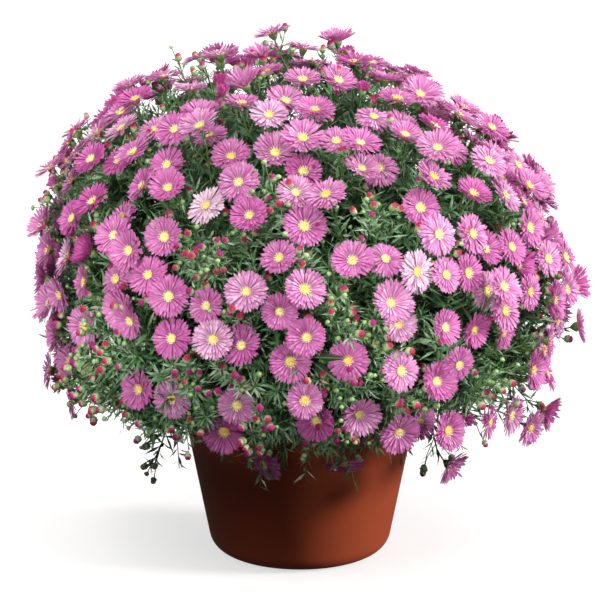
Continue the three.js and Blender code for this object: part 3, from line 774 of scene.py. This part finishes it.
def build_spray(shoot, rng, faces):
    """The flowering end of a stem."""
    flowers, greens, _ = shoot.skins
    axis = shoot.fork + shoot.along * np.linspace(0, RACHIS.length, AXIS_STEPS)[:, None]
    tube(greens, STALK, axis, np.linspace(*RACHIS.radius, AXIS_STEPS), SIDES.axis, PALE.axis)
    for head in shoot.heads:
        path = bowed(head.root, head.neck, head.facing)
        tube(greens, STALK, path, np.linspace(*STALK_FORM.radius, len(path)), SIDES.stalk, PALE.stalk)
        span = np.linalg.norm(head.neck - head.root)
        tone = rng.uniform(*STALK_FORM.tone)
        for pitch, least, part, length, slim, share in STALK_LEAVES:
            leaves_along(greens, path, rng, max(least, int(span / pitch)), part, length, slim, tone * share)
        if head.kind == "bloom":
            bloom(flowers, greens, head, rng)
        elif head.kind == "opening":
            opening(flowers, greens, head, rng)
        else:
            bud(flowers, greens, head.neck, head.facing, head.radius * BUD_SIZE, rng, False)
        if span > STALK_FORM.long:
            for _ in range(rng.integers(*STALK_FORM.buds)):
                place = rng.uniform(*STALK_FORM.bud_place)
                side_bud(flowers, greens, path, place, rng, rng.random() < STALK_FORM.shut, faces)


# The stem's foot in the soil, and its leaves by count, span, lengths, slimness and tone. The solid's own leaves
# have a bend, fold and tone, and its twigs have leaves by count, lengths and tone
FOOT_DEPTH, STEM_STEPS, TWIG_STEPS = 13, 12, 5
STEM_LEAVES = (26, (0.25, 1), (34, 28), 0.2, 0.15)
OWN_LEAF = (-0.1, -0.25, LEAF.thick, 0.3)
TWIG_LEAVES = (26, (28, 16), 0.3)

# Twigs that fill the inside of the dome, with leaves of other lengths and slimness high up than low down
INNER = Group(count=14, start=(0.35, 1.0), aside=(10, 75), reach=(0.45, 0.82), bow=6, radius=(0.8, 0.4))
INNER_LEAVES = Group(count=18, span=(0.1, 1.0), tone=(0, 0.2), high=((46, 24), 0.2), low=((28, 14), 0.17))
HIGH_UP = 200


def build_foliage(shoot, rng):
    """A leafy stem with its twigs, which fill the inside of the dome."""
    skin = shoot.skins[2]
    line = arc(*shoot.line, STEM_STEPS)
    path = np.concatenate([[line[0] - UP * FOOT_DEPTH], line])
    radii = STEM.radius - STEM.taper * np.linspace(0, 1, len(line))
    tube(skin, STALK, path, [STEM.radius, *radii], SIDES.stem, PALE.stem)
    leaves_along(skin, line, rng, *STEM_LEAVES, LANCE, KEEL)
    for root, way, length in shoot.leaves:
        place = (root[None], way[None], np.cross(way, side_of(way))[None])
        blades(skin, BLADE, LANCE, *place, length, LEAF.width, *OWN_LEAF, rng)
    for root, tip in shoot.twigs:
        leafy_twig(skin, np.linspace(root, tip, TWIG_STEPS), rng, *TWIG_LEAVES, TWIG.radius)
    for i in range(INNER.count):
        root = on_stem(shoot.knots, rng.uniform(*INNER.start))
        aim = shoot.target + sideways(shoot.along, i * GOLDEN_ANGLE) * rng.uniform(*INNER.aside)
        tip = mix(root, aim, rng.uniform(*INNER.reach))
        bend = mix(root, tip, 0.5) + sideways(unit(tip - root), i) * INNER.bow
        twig = arc(root, bend, tip)
        tube(skin, STALK, twig, np.linspace(*INNER.radius, len(twig)), SIDES.inner, PALE.inner)
        leaves = INNER_LEAVES
        length, slim = leaves.high if tip[2] > HIGH_UP else leaves.low
        leaves_along(skin, twig, rng, leaves.count, leaves.span, length, slim, rng.uniform(*leaves.tone))


# Sprigs between the blooms, with leaves by count and lengths
FILL = Group(count=420, turn=0.1, margin=(8, -2), depth=(12, 27), deeper=12, start=0.7, up=0.35, tone=(0.2, 0.75))
FILL_LEAVES = (26, (24, 11))
SPRIG = Group(radius=(0.7, 0.4), span=(0.4, 1.0), droop=0.4)


def build_fill(shoots, rng, faces):
    """Leafy sprigs that come up everywhere between the blooms, and end lower where they would hide one."""
    for i in range(FILL.count):
        azimuth = i * GOLDEN_ANGLE + rng.uniform(-FILL.turn, FILL.turn)
        low, high = DOME.lowest + FILL.margin[0], DOME.top + FILL.margin[1]
        height = mix(low, high, (i + rng.random()) / FILL.count)
        place, facing = dome_at(azimuth, height, rng.uniform(*FILL.depth))
        if hides_face(faces, place):
            place = place - facing * FILL.deeper
        shoot = nearest_shoot(shoots, place)
        start = shoot.fork + shoot.along * rng.uniform(0, RACHIS.length * FILL.start)
        path = bowed(start, place, unit(facing + UP * FILL.up), SPRIG.droop)
        leafy_twig(shoot.skins[2], path, rng, *FILL_LEAVES, rng.uniform(*FILL.tone), SPRIG.radius, SPRIG.span)


# Sprigs of a leafy window, with leaves by count and lengths, and the places of their side buds
WINDOW = Group(pitch=3, stray=0.7, depth=(7, 20), up=0.4, tone=(0.35, 0.9), buds=(0.82, 0.98), shut=0.5)
WINDOW_LEAVES = (30, (22, 11))


def build_windows(shoots, rng, faces):
    """Leafy, budded sprigs in the places where the blooms leave the leaves in sight."""
    for degrees, height, size in LEAFY_WINDOWS:
        for _ in range(int(size / WINDOW.pitch)):
            azimuth = math.radians(degrees) + rng.uniform(-WINDOW.stray, WINDOW.stray) * size / DOME.reach
            level = height + rng.uniform(-WINDOW.stray, WINDOW.stray) * size
            place, facing = dome_at(azimuth, level, rng.uniform(*WINDOW.depth))
            if hides_face(faces, place):
                continue
            shoot = nearest_shoot(shoots, place)
            flowers, greens, foliage = shoot.skins
            path = bowed(shoot.fork, place, unit(facing + UP * WINDOW.up), SPRIG.droop)
            leafy_twig(foliage, path, rng, *WINDOW_LEAVES, rng.uniform(*WINDOW.tone), span=SPRIG.span)
            for t in WINDOW.buds:
                side_bud(flowers, greens, path, t, rng, rng.random() < WINDOW.shut, faces)


# Sprigs under the dome, with radius and height of their ends and of where they turn down, and their leaves
SKIRT = Group(count=64, turn=0.4, end=((108, 160), (98, 138)), over=((128, 165), (165, 190)), steps=8, slim=0.21)
# The skirt's leaf tone is their own spread of tone, set paler as painted light for the shade under the dome
SKIRT_LEAVES, SKIRT_TONE_WITH_PAINTED_LIGHT, SKIRT_SHOOTS_OUT = (40, (22, 11)), (0.45, 0.9), 0.8


def build_skirt(shoots, rng):
    """Sprigs that come out under the dome and hang over the pot's rim."""
    for i in range(SKIRT.count):
        azimuth = (i + rng.uniform(-SKIRT.turn, SKIRT.turn)) * TURN / SKIRT.count
        end = around(azimuth, *(rng.uniform(*part) for part in SKIRT.end))
        shoot = nearest_shoot(shoots, around(azimuth, DOME.reach * SKIRT_SHOOTS_OUT, POT.height))
        over = around(azimuth, *(rng.uniform(*part) for part in SKIRT.over))
        path = arc(shoot.fork, over, end, SKIRT.steps)
        # A paler tone: painted light for the shade that the dome casts on these sprigs
        leafy_twig(shoot.skins[2], path, rng, *SKIRT_LEAVES, rng.uniform(*SKIRT_TONE_WITH_PAINTED_LIGHT), slim=SKIRT.slim)


def srgb(text):
    """Linear colour from a six-digit one."""
    parts = [int(text[i : i + 2], 16) / 255 for i in (0, 2, 4)]
    return (*(p / 12.92 if p <= 0.04045 else ((p + 0.055) / 1.055) ** 2.4 for p in parts), 1)


class Finish:
    """A procedural material, built node by node."""

    def __init__(self, name, **sockets):
        self.material = bpy.data.materials.new(name)
        self.material.use_nodes = True
        self.tree = self.material.node_tree
        self.surface = self.tree.nodes["Principled BSDF"]
        self.set(**sockets)

    def set(self, **sockets):
        for socket, value in sockets.items():
            self.feed(self.surface.inputs[socket.replace("_", " ")], value)

    def node(self, kind, inputs=(), **settings):
        made = self.tree.nodes.new(kind)
        for name, value in settings.items():
            setattr(made, name, value)
        for socket, value in dict(inputs).items():
            self.feed(made.inputs[socket], value)
        return made

    def feed(self, socket, value):
        if isinstance(value, bpy.types.NodeSocket):
            self.tree.links.new(value, socket)
        else:
            socket.default_value = value

    def read(self, name):
        return self.node("ShaderNodeAttribute", attribute_name=name).outputs

    def blade(self):
        """Across, along, seed and tone."""
        parts = self.node("ShaderNodeSeparateXYZ", {0: self.read("blade")["Vector"]}).outputs
        return (*parts[0:3], self.read("tone")["Fac"])

    def math(self, operation, a, b=0.0):
        return self.node("ShaderNodeMath", {0: a, 1: b}, operation=operation).outputs[0]

    def plus(self, a, b):
        return self.math("ADD", a, b)

    def times(self, a, b):
        return self.math("MULTIPLY", a, b)

    def swing(self, value, amount):
        """A value that lies about one half, centred on nought and scaled."""
        return self.times(self.math("SUBTRACT", value, 0.5), amount)

    def join(self, *parts):
        return self.node("ShaderNodeCombineXYZ", enumerate(parts)).outputs[0]

    def noise(self, scale, detail=3.0, vector=None, roughness=0.5):
        inputs = {"Scale": scale, "Detail": detail, "Roughness": roughness}
        place = vector or self.node("ShaderNodeTexCoord").outputs["Object"]
        return self.node("ShaderNodeTexNoise", {**inputs, "Vector": place}).outputs[0]

    def between(self, value, low, high, to_low=0.0, to_high=1.0):
        inputs = {"Value": value, "From Min": low, "From Max": high, "To Min": to_low, "To Max": to_high}
        return self.node("ShaderNodeMapRange", inputs, interpolation_type="SMOOTHSTEP").outputs[0]

    def mix(self, share, low, high):
        return self.node("ShaderNodeMix", {0: share, 6: low, 7: high}, data_type="RGBA").outputs[2]

    def ramp(self, value, *stops):
        made = self.node("ShaderNodeValToRGB", {0: value})
        elements = made.color_ramp.elements
        while len(elements) < len(stops):
            elements.new(1.0)
        for element, (place, colour) in zip(elements, stops):
            element.position = place
            element.color = srgb(colour)
        return made.outputs[0]

    def soften(self, weight, radius, scale):
        """Lets some light through a thin petal or leaf."""
        self.set(Subsurface_Weight=weight, Subsurface_Radius=radius, Subsurface_Scale=scale)

    def done(self, colour, height, strength, distance):
        """The material, with its colour and its relief."""
        bump = self.node("ShaderNodeBump", {"Height": height, "Strength": strength, "Distance": distance})
        self.set(Base_Color=colour, Normal=bump.outputs[0])
        return self.material


def ray_finish():
    f = Finish("ray_floret", Roughness=0.62)
    across, along, seed, tone = f.blade()
    streak = f.noise(2.6, 4.0, f.join(f.times(across, 1.4), f.times(along, 0.7), f.times(seed, 60)), 0.6)
    edge = f.math("POWER", f.math("ABSOLUTE", across), 3.0)
    paler = f.plus(f.swing(streak, 0.8), f.times(edge, 0.06))
    paler = f.plus(paler, f.between(along, 0.35, 1.0, 0.0, 0.09))
    paler = f.plus(paler, f.between(along, 0.0, 0.35, 0.16, 0.0))
    stops = ((0.0, "A81672"), (0.28, "BA3E90"), (0.55, "C664A5"), (0.8, "D68EBC"), (1.0, "ECC8DA"))
    f.soften(0.4, (1.0, 0.4, 0.7), 0.0012)
    return f.done(f.ramp(f.plus(tone, paler), *stops), streak, 0.3, 0.0003)


def disc_finish():
    f = Finish("disc_floret", Roughness=0.7)
    tip, out, seed, ripe = f.blade()
    ring = f.plus(out, f.swing(seed, 0.35))
    young = f.ramp(ring, (0.0, "D2BE2E"), (0.45, "F4DC3E"), (0.95, "FFF4B4"))
    old = f.ramp(ring, (0.0, "D9A520"), (0.5, "EDBE2A"), (1.0, "FBE07A"))
    petals = f.mix(f.math("POWER", ripe, 2.0), young, old)
    colour = f.mix(f.between(tip, 0.0, 0.6), f.mix(0.45, petals, srgb("A8801C")), petals)
    f.soften(0.15, (1.0, 0.7, 0.2), 0.0006)
    return f.done(colour, f.noise(900.0), 0.3, 0.0003)


def tip_finish():
    f = Finish("bud_tip", Roughness=0.5)
    round_it, up, seed, _ = f.blade()
    furl = f.math("SINE", f.times(f.plus(round_it, f.times(up, 0.12)), 75.4))
    height = f.plus(up, f.times(furl, 0.06))
    coral = f.ramp(height, (0.0, "E0CEAE"), (0.34, "E2AE9C"), (0.52, "C8405F"), (1.0, "AC204F"))
    magenta = f.ramp(height, (0.0, "E0CFBA"), (0.28, "DCA0C0"), (0.46, "BE2C80"), (1.0, "A41A66"))
    f.soften(0.2, (1.0, 0.4, 0.5), 0.0008)
    return f.done(f.mix(f.between(seed, 0.45, 0.55), coral, magenta), furl, 0.6, 0.0005)


def leaf_finish():
    f = Finish("lance_leaf", Roughness=0.5)
    across, along, seed, tone = f.blade()
    mottle = f.noise(160.0, 4.0)
    fine = f.noise(2.4, 3.0, f.join(f.times(across, 1.2), f.times(along, 2.4), f.times(seed, 40)))
    value = f.plus(f.plus(tone, f.swing(mottle, 0.5)), f.swing(fine, 0.5))
    stops = ((0.0, "1D3B1E"), (0.3, "426D3E"), (0.6, "6D9766"), (1.0, "BBD2B3"))
    blade = f.ramp(f.plus(value, f.swing(seed, 0.3)), *stops)
    rib = f.between(f.math("ABSOLUTE", across), 0.0, 0.22, 1.0, 0.0)
    f.set(Roughness=f.between(mottle, 0.3, 0.7, 0.4, 0.58))
    f.soften(0.08, (0.4, 1.0, 0.2), 0.0006)
    return f.done(f.mix(f.times(rib, 0.4), blade, srgb("9AB083")), f.plus(fine, f.times(rib, 0.6)), 0.5, 0.0005)


def stalk_finish():
    f = Finish("green_stalk", Roughness=0.55)
    speck = f.noise(420.0, 4.0)
    value = f.plus(f.read("tone")["Fac"], f.swing(speck, 0.5))
    colour = f.ramp(value, (0.0, "4A3D2A"), (0.25, "435D2E"), (0.55, "668A4C"), (0.9, "A2BE7C"))
    return f.done(colour, speck, 0.4, 0.0004)


def pot_finish():
    f = Finish("terracotta_plastic", Roughness=0.42, Specular_IOR_Level=0.3)
    cloud = f.noise(9.0, 5.0)
    f.set(Roughness=f.between(cloud, 0.3, 0.7, 0.4, 0.48))
    colour = f.mix(f.between(cloud, 0.3, 0.7), srgb("963F24"), srgb("9E4528"))
    return f.done(colour, f.noise(1400.0, 2.0), 0.12, 0.0003)


def soil_finish():
    f = Finish("peat", Roughness=0.95)
    crumb = f.noise(320.0, 6.0, roughness=0.7)
    return f.done(f.ramp(crumb, (0.3, "14100C"), (0.55, "33261B"), (0.75, "5A4735")), crumb, 1.0, 0.002)


# How far the pot's wall leans out, and where its rounded bottom edge has its centre
LEAN = math.atan((POT.rim - POT.base) / POT.height)
ROUND_CENTRE = POT.base - POT.corner * (1 - math.sin(LEAN)) / math.cos(LEAN)
BENDS, POT_SIDES, DRAIN_SIDES, SOIL_SIDES = 10, 128, 28, 96


def pot_outline(depth, top):
    """Half outline of the pot's outside drawn in by a depth, from the axis up to a height."""
    radius = POT.corner - depth
    angles = (math.pi / 2 - LEAN) * np.linspace(0, 1, BENDS + 1)
    points = [(ROUND_CENTRE + radius * math.sin(a), POT.corner - radius * math.cos(a)) for a in angles]
    wall = POT.rim - (POT.height - top) * math.tan(LEAN) - depth / math.cos(LEAN)
    return points + [(wall, top)]


def lathe(name, outline, sides, material):
    """A closed round piece from an outline of radii and heights that starts and ends on the axis."""
    skin = Skin()
    radii, heights = np.array(outline, float).T
    path = np.stack([0 * heights, 0 * heights, heights], 1)
    angle = full_turn(sides)
    circle = np.stack([np.cos(angle), np.sin(angle), 0 * angle], 1)
    round_skin(skin, 0, path, path[:, None] + radii[:, None, None] * circle, 0.5)
    return skin.make(name, [material])


def build_pot():
    """The pot's shell, with a rounded lip and drain holes bored through its floor."""
    outside = pot_outline(0, POT.height)
    rim = outside.pop()[0]
    quarter = np.radians(np.linspace(0, 90, 5))
    lip = [(rim - POT.lip + POT.lip * math.cos(a), POT.height - POT.lip + POT.lip * math.sin(a)) for a in quarter]
    inside = pot_outline(POT.wall, POT.height)
    inner = inside.pop()[0]
    soft = [(inner + POT.ease, POT.height), (inner, POT.height - POT.ease)]
    wall_steps = [mix(np.array(outside[-1]), np.array(lip[0]), t) for t in (0.25, 0.5, 0.75)]
    outline = [*outside, *wall_steps, *lip, *soft, *inside[::-1]]
    pot = lathe("pot_shell", outline, POT_SIDES, pot_finish())
    size = dict(vertices=DRAIN_SIDES, radius=DRAIN.radius * MM, depth=POT.wall * 4 * MM)
    for i in range(DRAIN.count):
        place = around((i + 0.5) / DRAIN.count * TURN, DRAIN.circle, 0)
        bpy.ops.mesh.primitive_cylinder_add(location=place * MM, **size)
        bore = bpy.context.object
        cut = pot.modifiers.new("drain", "BOOLEAN")
        cut.object = bore
        cut.solver = "EXACT"
        bpy.context.view_layer.update()
        bored = bpy.data.meshes.new_from_object(pot.evaluated_get(bpy.context.evaluated_depsgraph_get()))
        pot.modifiers.clear()
        pot.data = bored
        bpy.data.objects.remove(bore)
    pot.data.shade_smooth()
    return pot


# The soil's top, with its rings as shares of its edge, and for its lumps two crossing waves and their phases
SOIL_TOP = Group(rings=26, span=(0.97, 0.02), lumps=(22, 11, 6), height=0.055, settled=0.6, margin=0.5)
SOIL_TOP.waves = ((0.8, 1.25), (0.8, 1.25), (0, 6))


def build_soil(rng):
    """The root ball, lumpy on top."""
    outline = pot_outline(POT.wall + SOIL.gap, SOIL.top - SOIL.edge)
    edge = outline[-1][0]
    rounds = [(edge * share, SOIL.top) for share in np.linspace(*SOIL_TOP.span, SOIL_TOP.rings)]
    piece = lathe("soil_ball", [*outline, *rounds], SOIL_SIDES, soil_finish())
    points = points_of(piece.data)
    top = points[:, 2] > SOIL.top - SOIL.edge + SOIL_TOP.margin
    lumps = np.zeros(len(points))
    for size in SOIL_TOP.lumps:
        first, second, phase = (rng.uniform(*part, 2) for part in SOIL_TOP.waves)
        x, y, high = points[:, 0] / size, points[:, 1] / size, size * SOIL_TOP.height
        lumps += high * np.sin(x * first[0] + y * first[1] + phase[0])
        lumps += high * np.sin(x * second[0] - y * second[1] + phase[1])
    points[top, 2] += lumps[top] - SOIL_TOP.settled
    piece.data.vertices.foreach_set("co", (points * MM).astype(np.float32).ravel())
    piece.data.update()
    return piece


# Crumbs on the soil: how many, how far out and up they lie, their sizes, and a crumb's corners and triangles
CRUMBS = Group(count=420, reach=88, lift=0.4, size=(0.8, 2.6), uneven=(0.5, 1.2))
CRUMB_CORNERS = ((1, 0, 0), (0, 1, 0), (-1, 0, 0), (0, -1, 0), (0.2, 0.1, 1), (0, 0, -1))
CRUMB_FACES = ((0, 1, 4), (1, 2, 4), (2, 3, 4), (3, 0, 4), (1, 0, 5), (2, 1, 5), (3, 2, 5), (0, 3, 5))


def build_crumbs(rng):
    """Loose bits of peat and bark that lie on the root ball."""
    skin, count = Skin(), CRUMBS.count
    angle, out = rng.uniform(0, TURN, count), CRUMBS.reach * np.sqrt(rng.random(count))
    place = np.stack([np.cos(angle) * out, np.sin(angle) * out, np.full(count, SOIL.top + CRUMBS.lift)], 1)
    size = rng.uniform(*CRUMBS.size, (count, 1, 1)) * rng.uniform(*CRUMBS.uneven, (count, 6, 3))
    points = (place[:, None] + unit(np.array(CRUMB_CORNERS, float)) * size).reshape(-1, 3)
    faces = (np.array(CRUMB_FACES)[None] + (np.arange(count) * 6)[:, None, None]).reshape(-1, 3)
    skin.add(points, faces, 0, 0.0, 0.0, 0.5, 0.5)
    return skin.make("soil_crumbs", [bpy.data.materials["peat"]])


# The floor's radius and how far it lies under the pot, in metres, and the light of the surround by height
FLOOR = Group(radius=14, drop=-0.0005, colour="B4B2B0", glow=0.65)
SURROUND = {"From Min": 0.4, "From Max": 0.95, "To Min": 0.055, "To Max": 1.45}

# Suns: where each shines from, its spread in degrees, strength and tint
SUNS = dict(
    key=((0.3, -0.52, 1.0), 24, 0.84, (1.0, 0.985, 0.96)),
    fill=((-0.3, -0.6, 1.0), 24, 1.0, (1, 1, 1)),
    side=((0.94, -0.12, 0.3), 16, 4.2, (1, 1, 1)),
)

# Spots that light the lower blooms and pass over the pot: what each aims at, its cone in degrees, and watts
SPOTS = dict(
    front=((0, 0, 0.4), 11.5, 180),
    front_left=((-0.2, 0, 0.25), 6.4, 165),
    front_right=((0.2, 0, 0.22), 4.8, 110),
)
SPOT = Group(way=(-0.25, -0.95, 0.12), reach=3, blend=0.15, size=0.04)


def build_floor():
    """A plain pale floor, as bright as the surround, that throws no light back on the plant."""
    place = (0, 0, FLOOR.drop)
    bpy.ops.mesh.primitive_circle_add(vertices=96, radius=FLOOR.radius, fill_type="NGON", location=place)
    floor = bpy.context.object
    floor.name = "floor"
    f = Finish("pale_floor", Roughness=0.9, Emission_Color=(1, 1, 1, 1), Emission_Strength=FLOOR.glow)
    f.set(Base_Color=srgb(FLOOR.colour))
    floor.data.materials.append(f.material)
    floor.visible_diffuse = False
    floor.visible_glossy = False


def build_lights():
    """A soft studio light: a pale surround, brighter overhead, suns from above and from the right, and spots."""
    world = bpy.data.worlds.new("surround")
    bpy.context.scene.world = world
    world.use_nodes = True
    nodes, links = world.node_tree.nodes, world.node_tree.links
    parts = nodes.new("ShaderNodeSeparateXYZ")
    links.new(nodes.new("ShaderNodeTexCoord").outputs["Generated"], parts.inputs[0])
    upward = nodes.new("ShaderNodeMapRange")
    for socket, value in SURROUND.items():
        upward.inputs[socket].default_value = value
    links.new(parts.outputs["Z"], upward.inputs["Value"])
    links.new(upward.outputs[0], nodes["Background"].inputs["Strength"])
    nodes["Background"].inputs["Color"].default_value = (1, 1, 1, 1)

    def hang(name, kind, energy, way, place=(0, 0, 0)):
        data = bpy.data.lights.new(name, kind)
        data.energy = energy
        lamp = bpy.data.objects.new(name, data)
        lamp.location = place
        lamp.rotation_euler = Vector(way).to_track_quat("Z", "Y").to_euler()
        bpy.context.scene.collection.objects.link(lamp)
        return data

    for name, (way, spread, strength, tint) in SUNS.items():
        data = hang(name, "SUN", strength, way)
        data.angle = math.radians(spread)
        data.color = tint
    way = Vector(SPOT.way).normalized()
    for name, (aim, cone, power) in SPOTS.items():
        data = hang(name, "SPOT", power, way, Vector(aim) + way * SPOT.reach)
        data.spot_size = math.radians(cone)
        data.spot_blend = SPOT.blend
        data.shadow_soft_size = SPOT.size


def build_camera():
    """Looks from 15 degrees above, along the way that the photo does."""
    distance, elevation, lens, aim = 2.6, math.radians(15), 190, Vector((0, 0, 0.212))
    data = bpy.data.cameras.new("camera")
    data.lens = lens
    data.sensor_width = 36
    camera = bpy.data.objects.new("camera", data)
    camera.location = aim + Vector((0, -math.cos(elevation), math.sin(elevation))) * distance
    camera.rotation_euler = (aim - camera.location).to_track_quat("-Z", "Y").to_euler()
    bpy.context.scene.collection.objects.link(camera)
    bpy.context.scene.camera = camera


def hand_over(piece, node):
    """A piece rides on the part's one body and takes the place of a plain solid."""
    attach(piece, "root")
    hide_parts(node)


def main():
    build_camera()
    build_floor()
    build_lights()
    bpy.context.scene.view_settings.view_transform = "Standard"

    shoots = plan_shoots()
    plan_heads(shoots)
    plan_leaves(shoots)
    rng = np.random.default_rng(LOOKS_SEED)
    faces = open_faces(shoots)
    for shoot in shoots:
        shoot.skins = (Skin(), Skin(), Skin())
    for shoot in shoots:
        build_spray(shoot, rng, faces)
        build_foliage(shoot, rng)
    build_fill(shoots, rng, faces)
    build_windows(shoots, rng, faces)
    build_skirt(shoots, rng)

    flower_materials = [ray_finish(), disc_finish(), tip_finish()]
    green_materials = [stalk_finish(), leaf_finish()]
    kinds = (
        ("blooms", flower_materials, "bloom", "flower_spray"),
        ("stalks", green_materials, "leaf", "flower_spray"),
        ("foliage", green_materials, "leaf", "leafy_stem"),
    )
    for k, shoot in enumerate(shoots):
        number = f"{k + 1:02d}"
        for skin, (name, materials, slot, node) in zip(shoot.skins, kinds):
            hand_over(skin.make(f"{name}_{number}", materials), f"{node}_{number}")
    hand_over(build_pot(), "pot")
    hand_over(build_soil(rng), "soil")
    hand_over(build_crumbs(rng), "soil")


main()
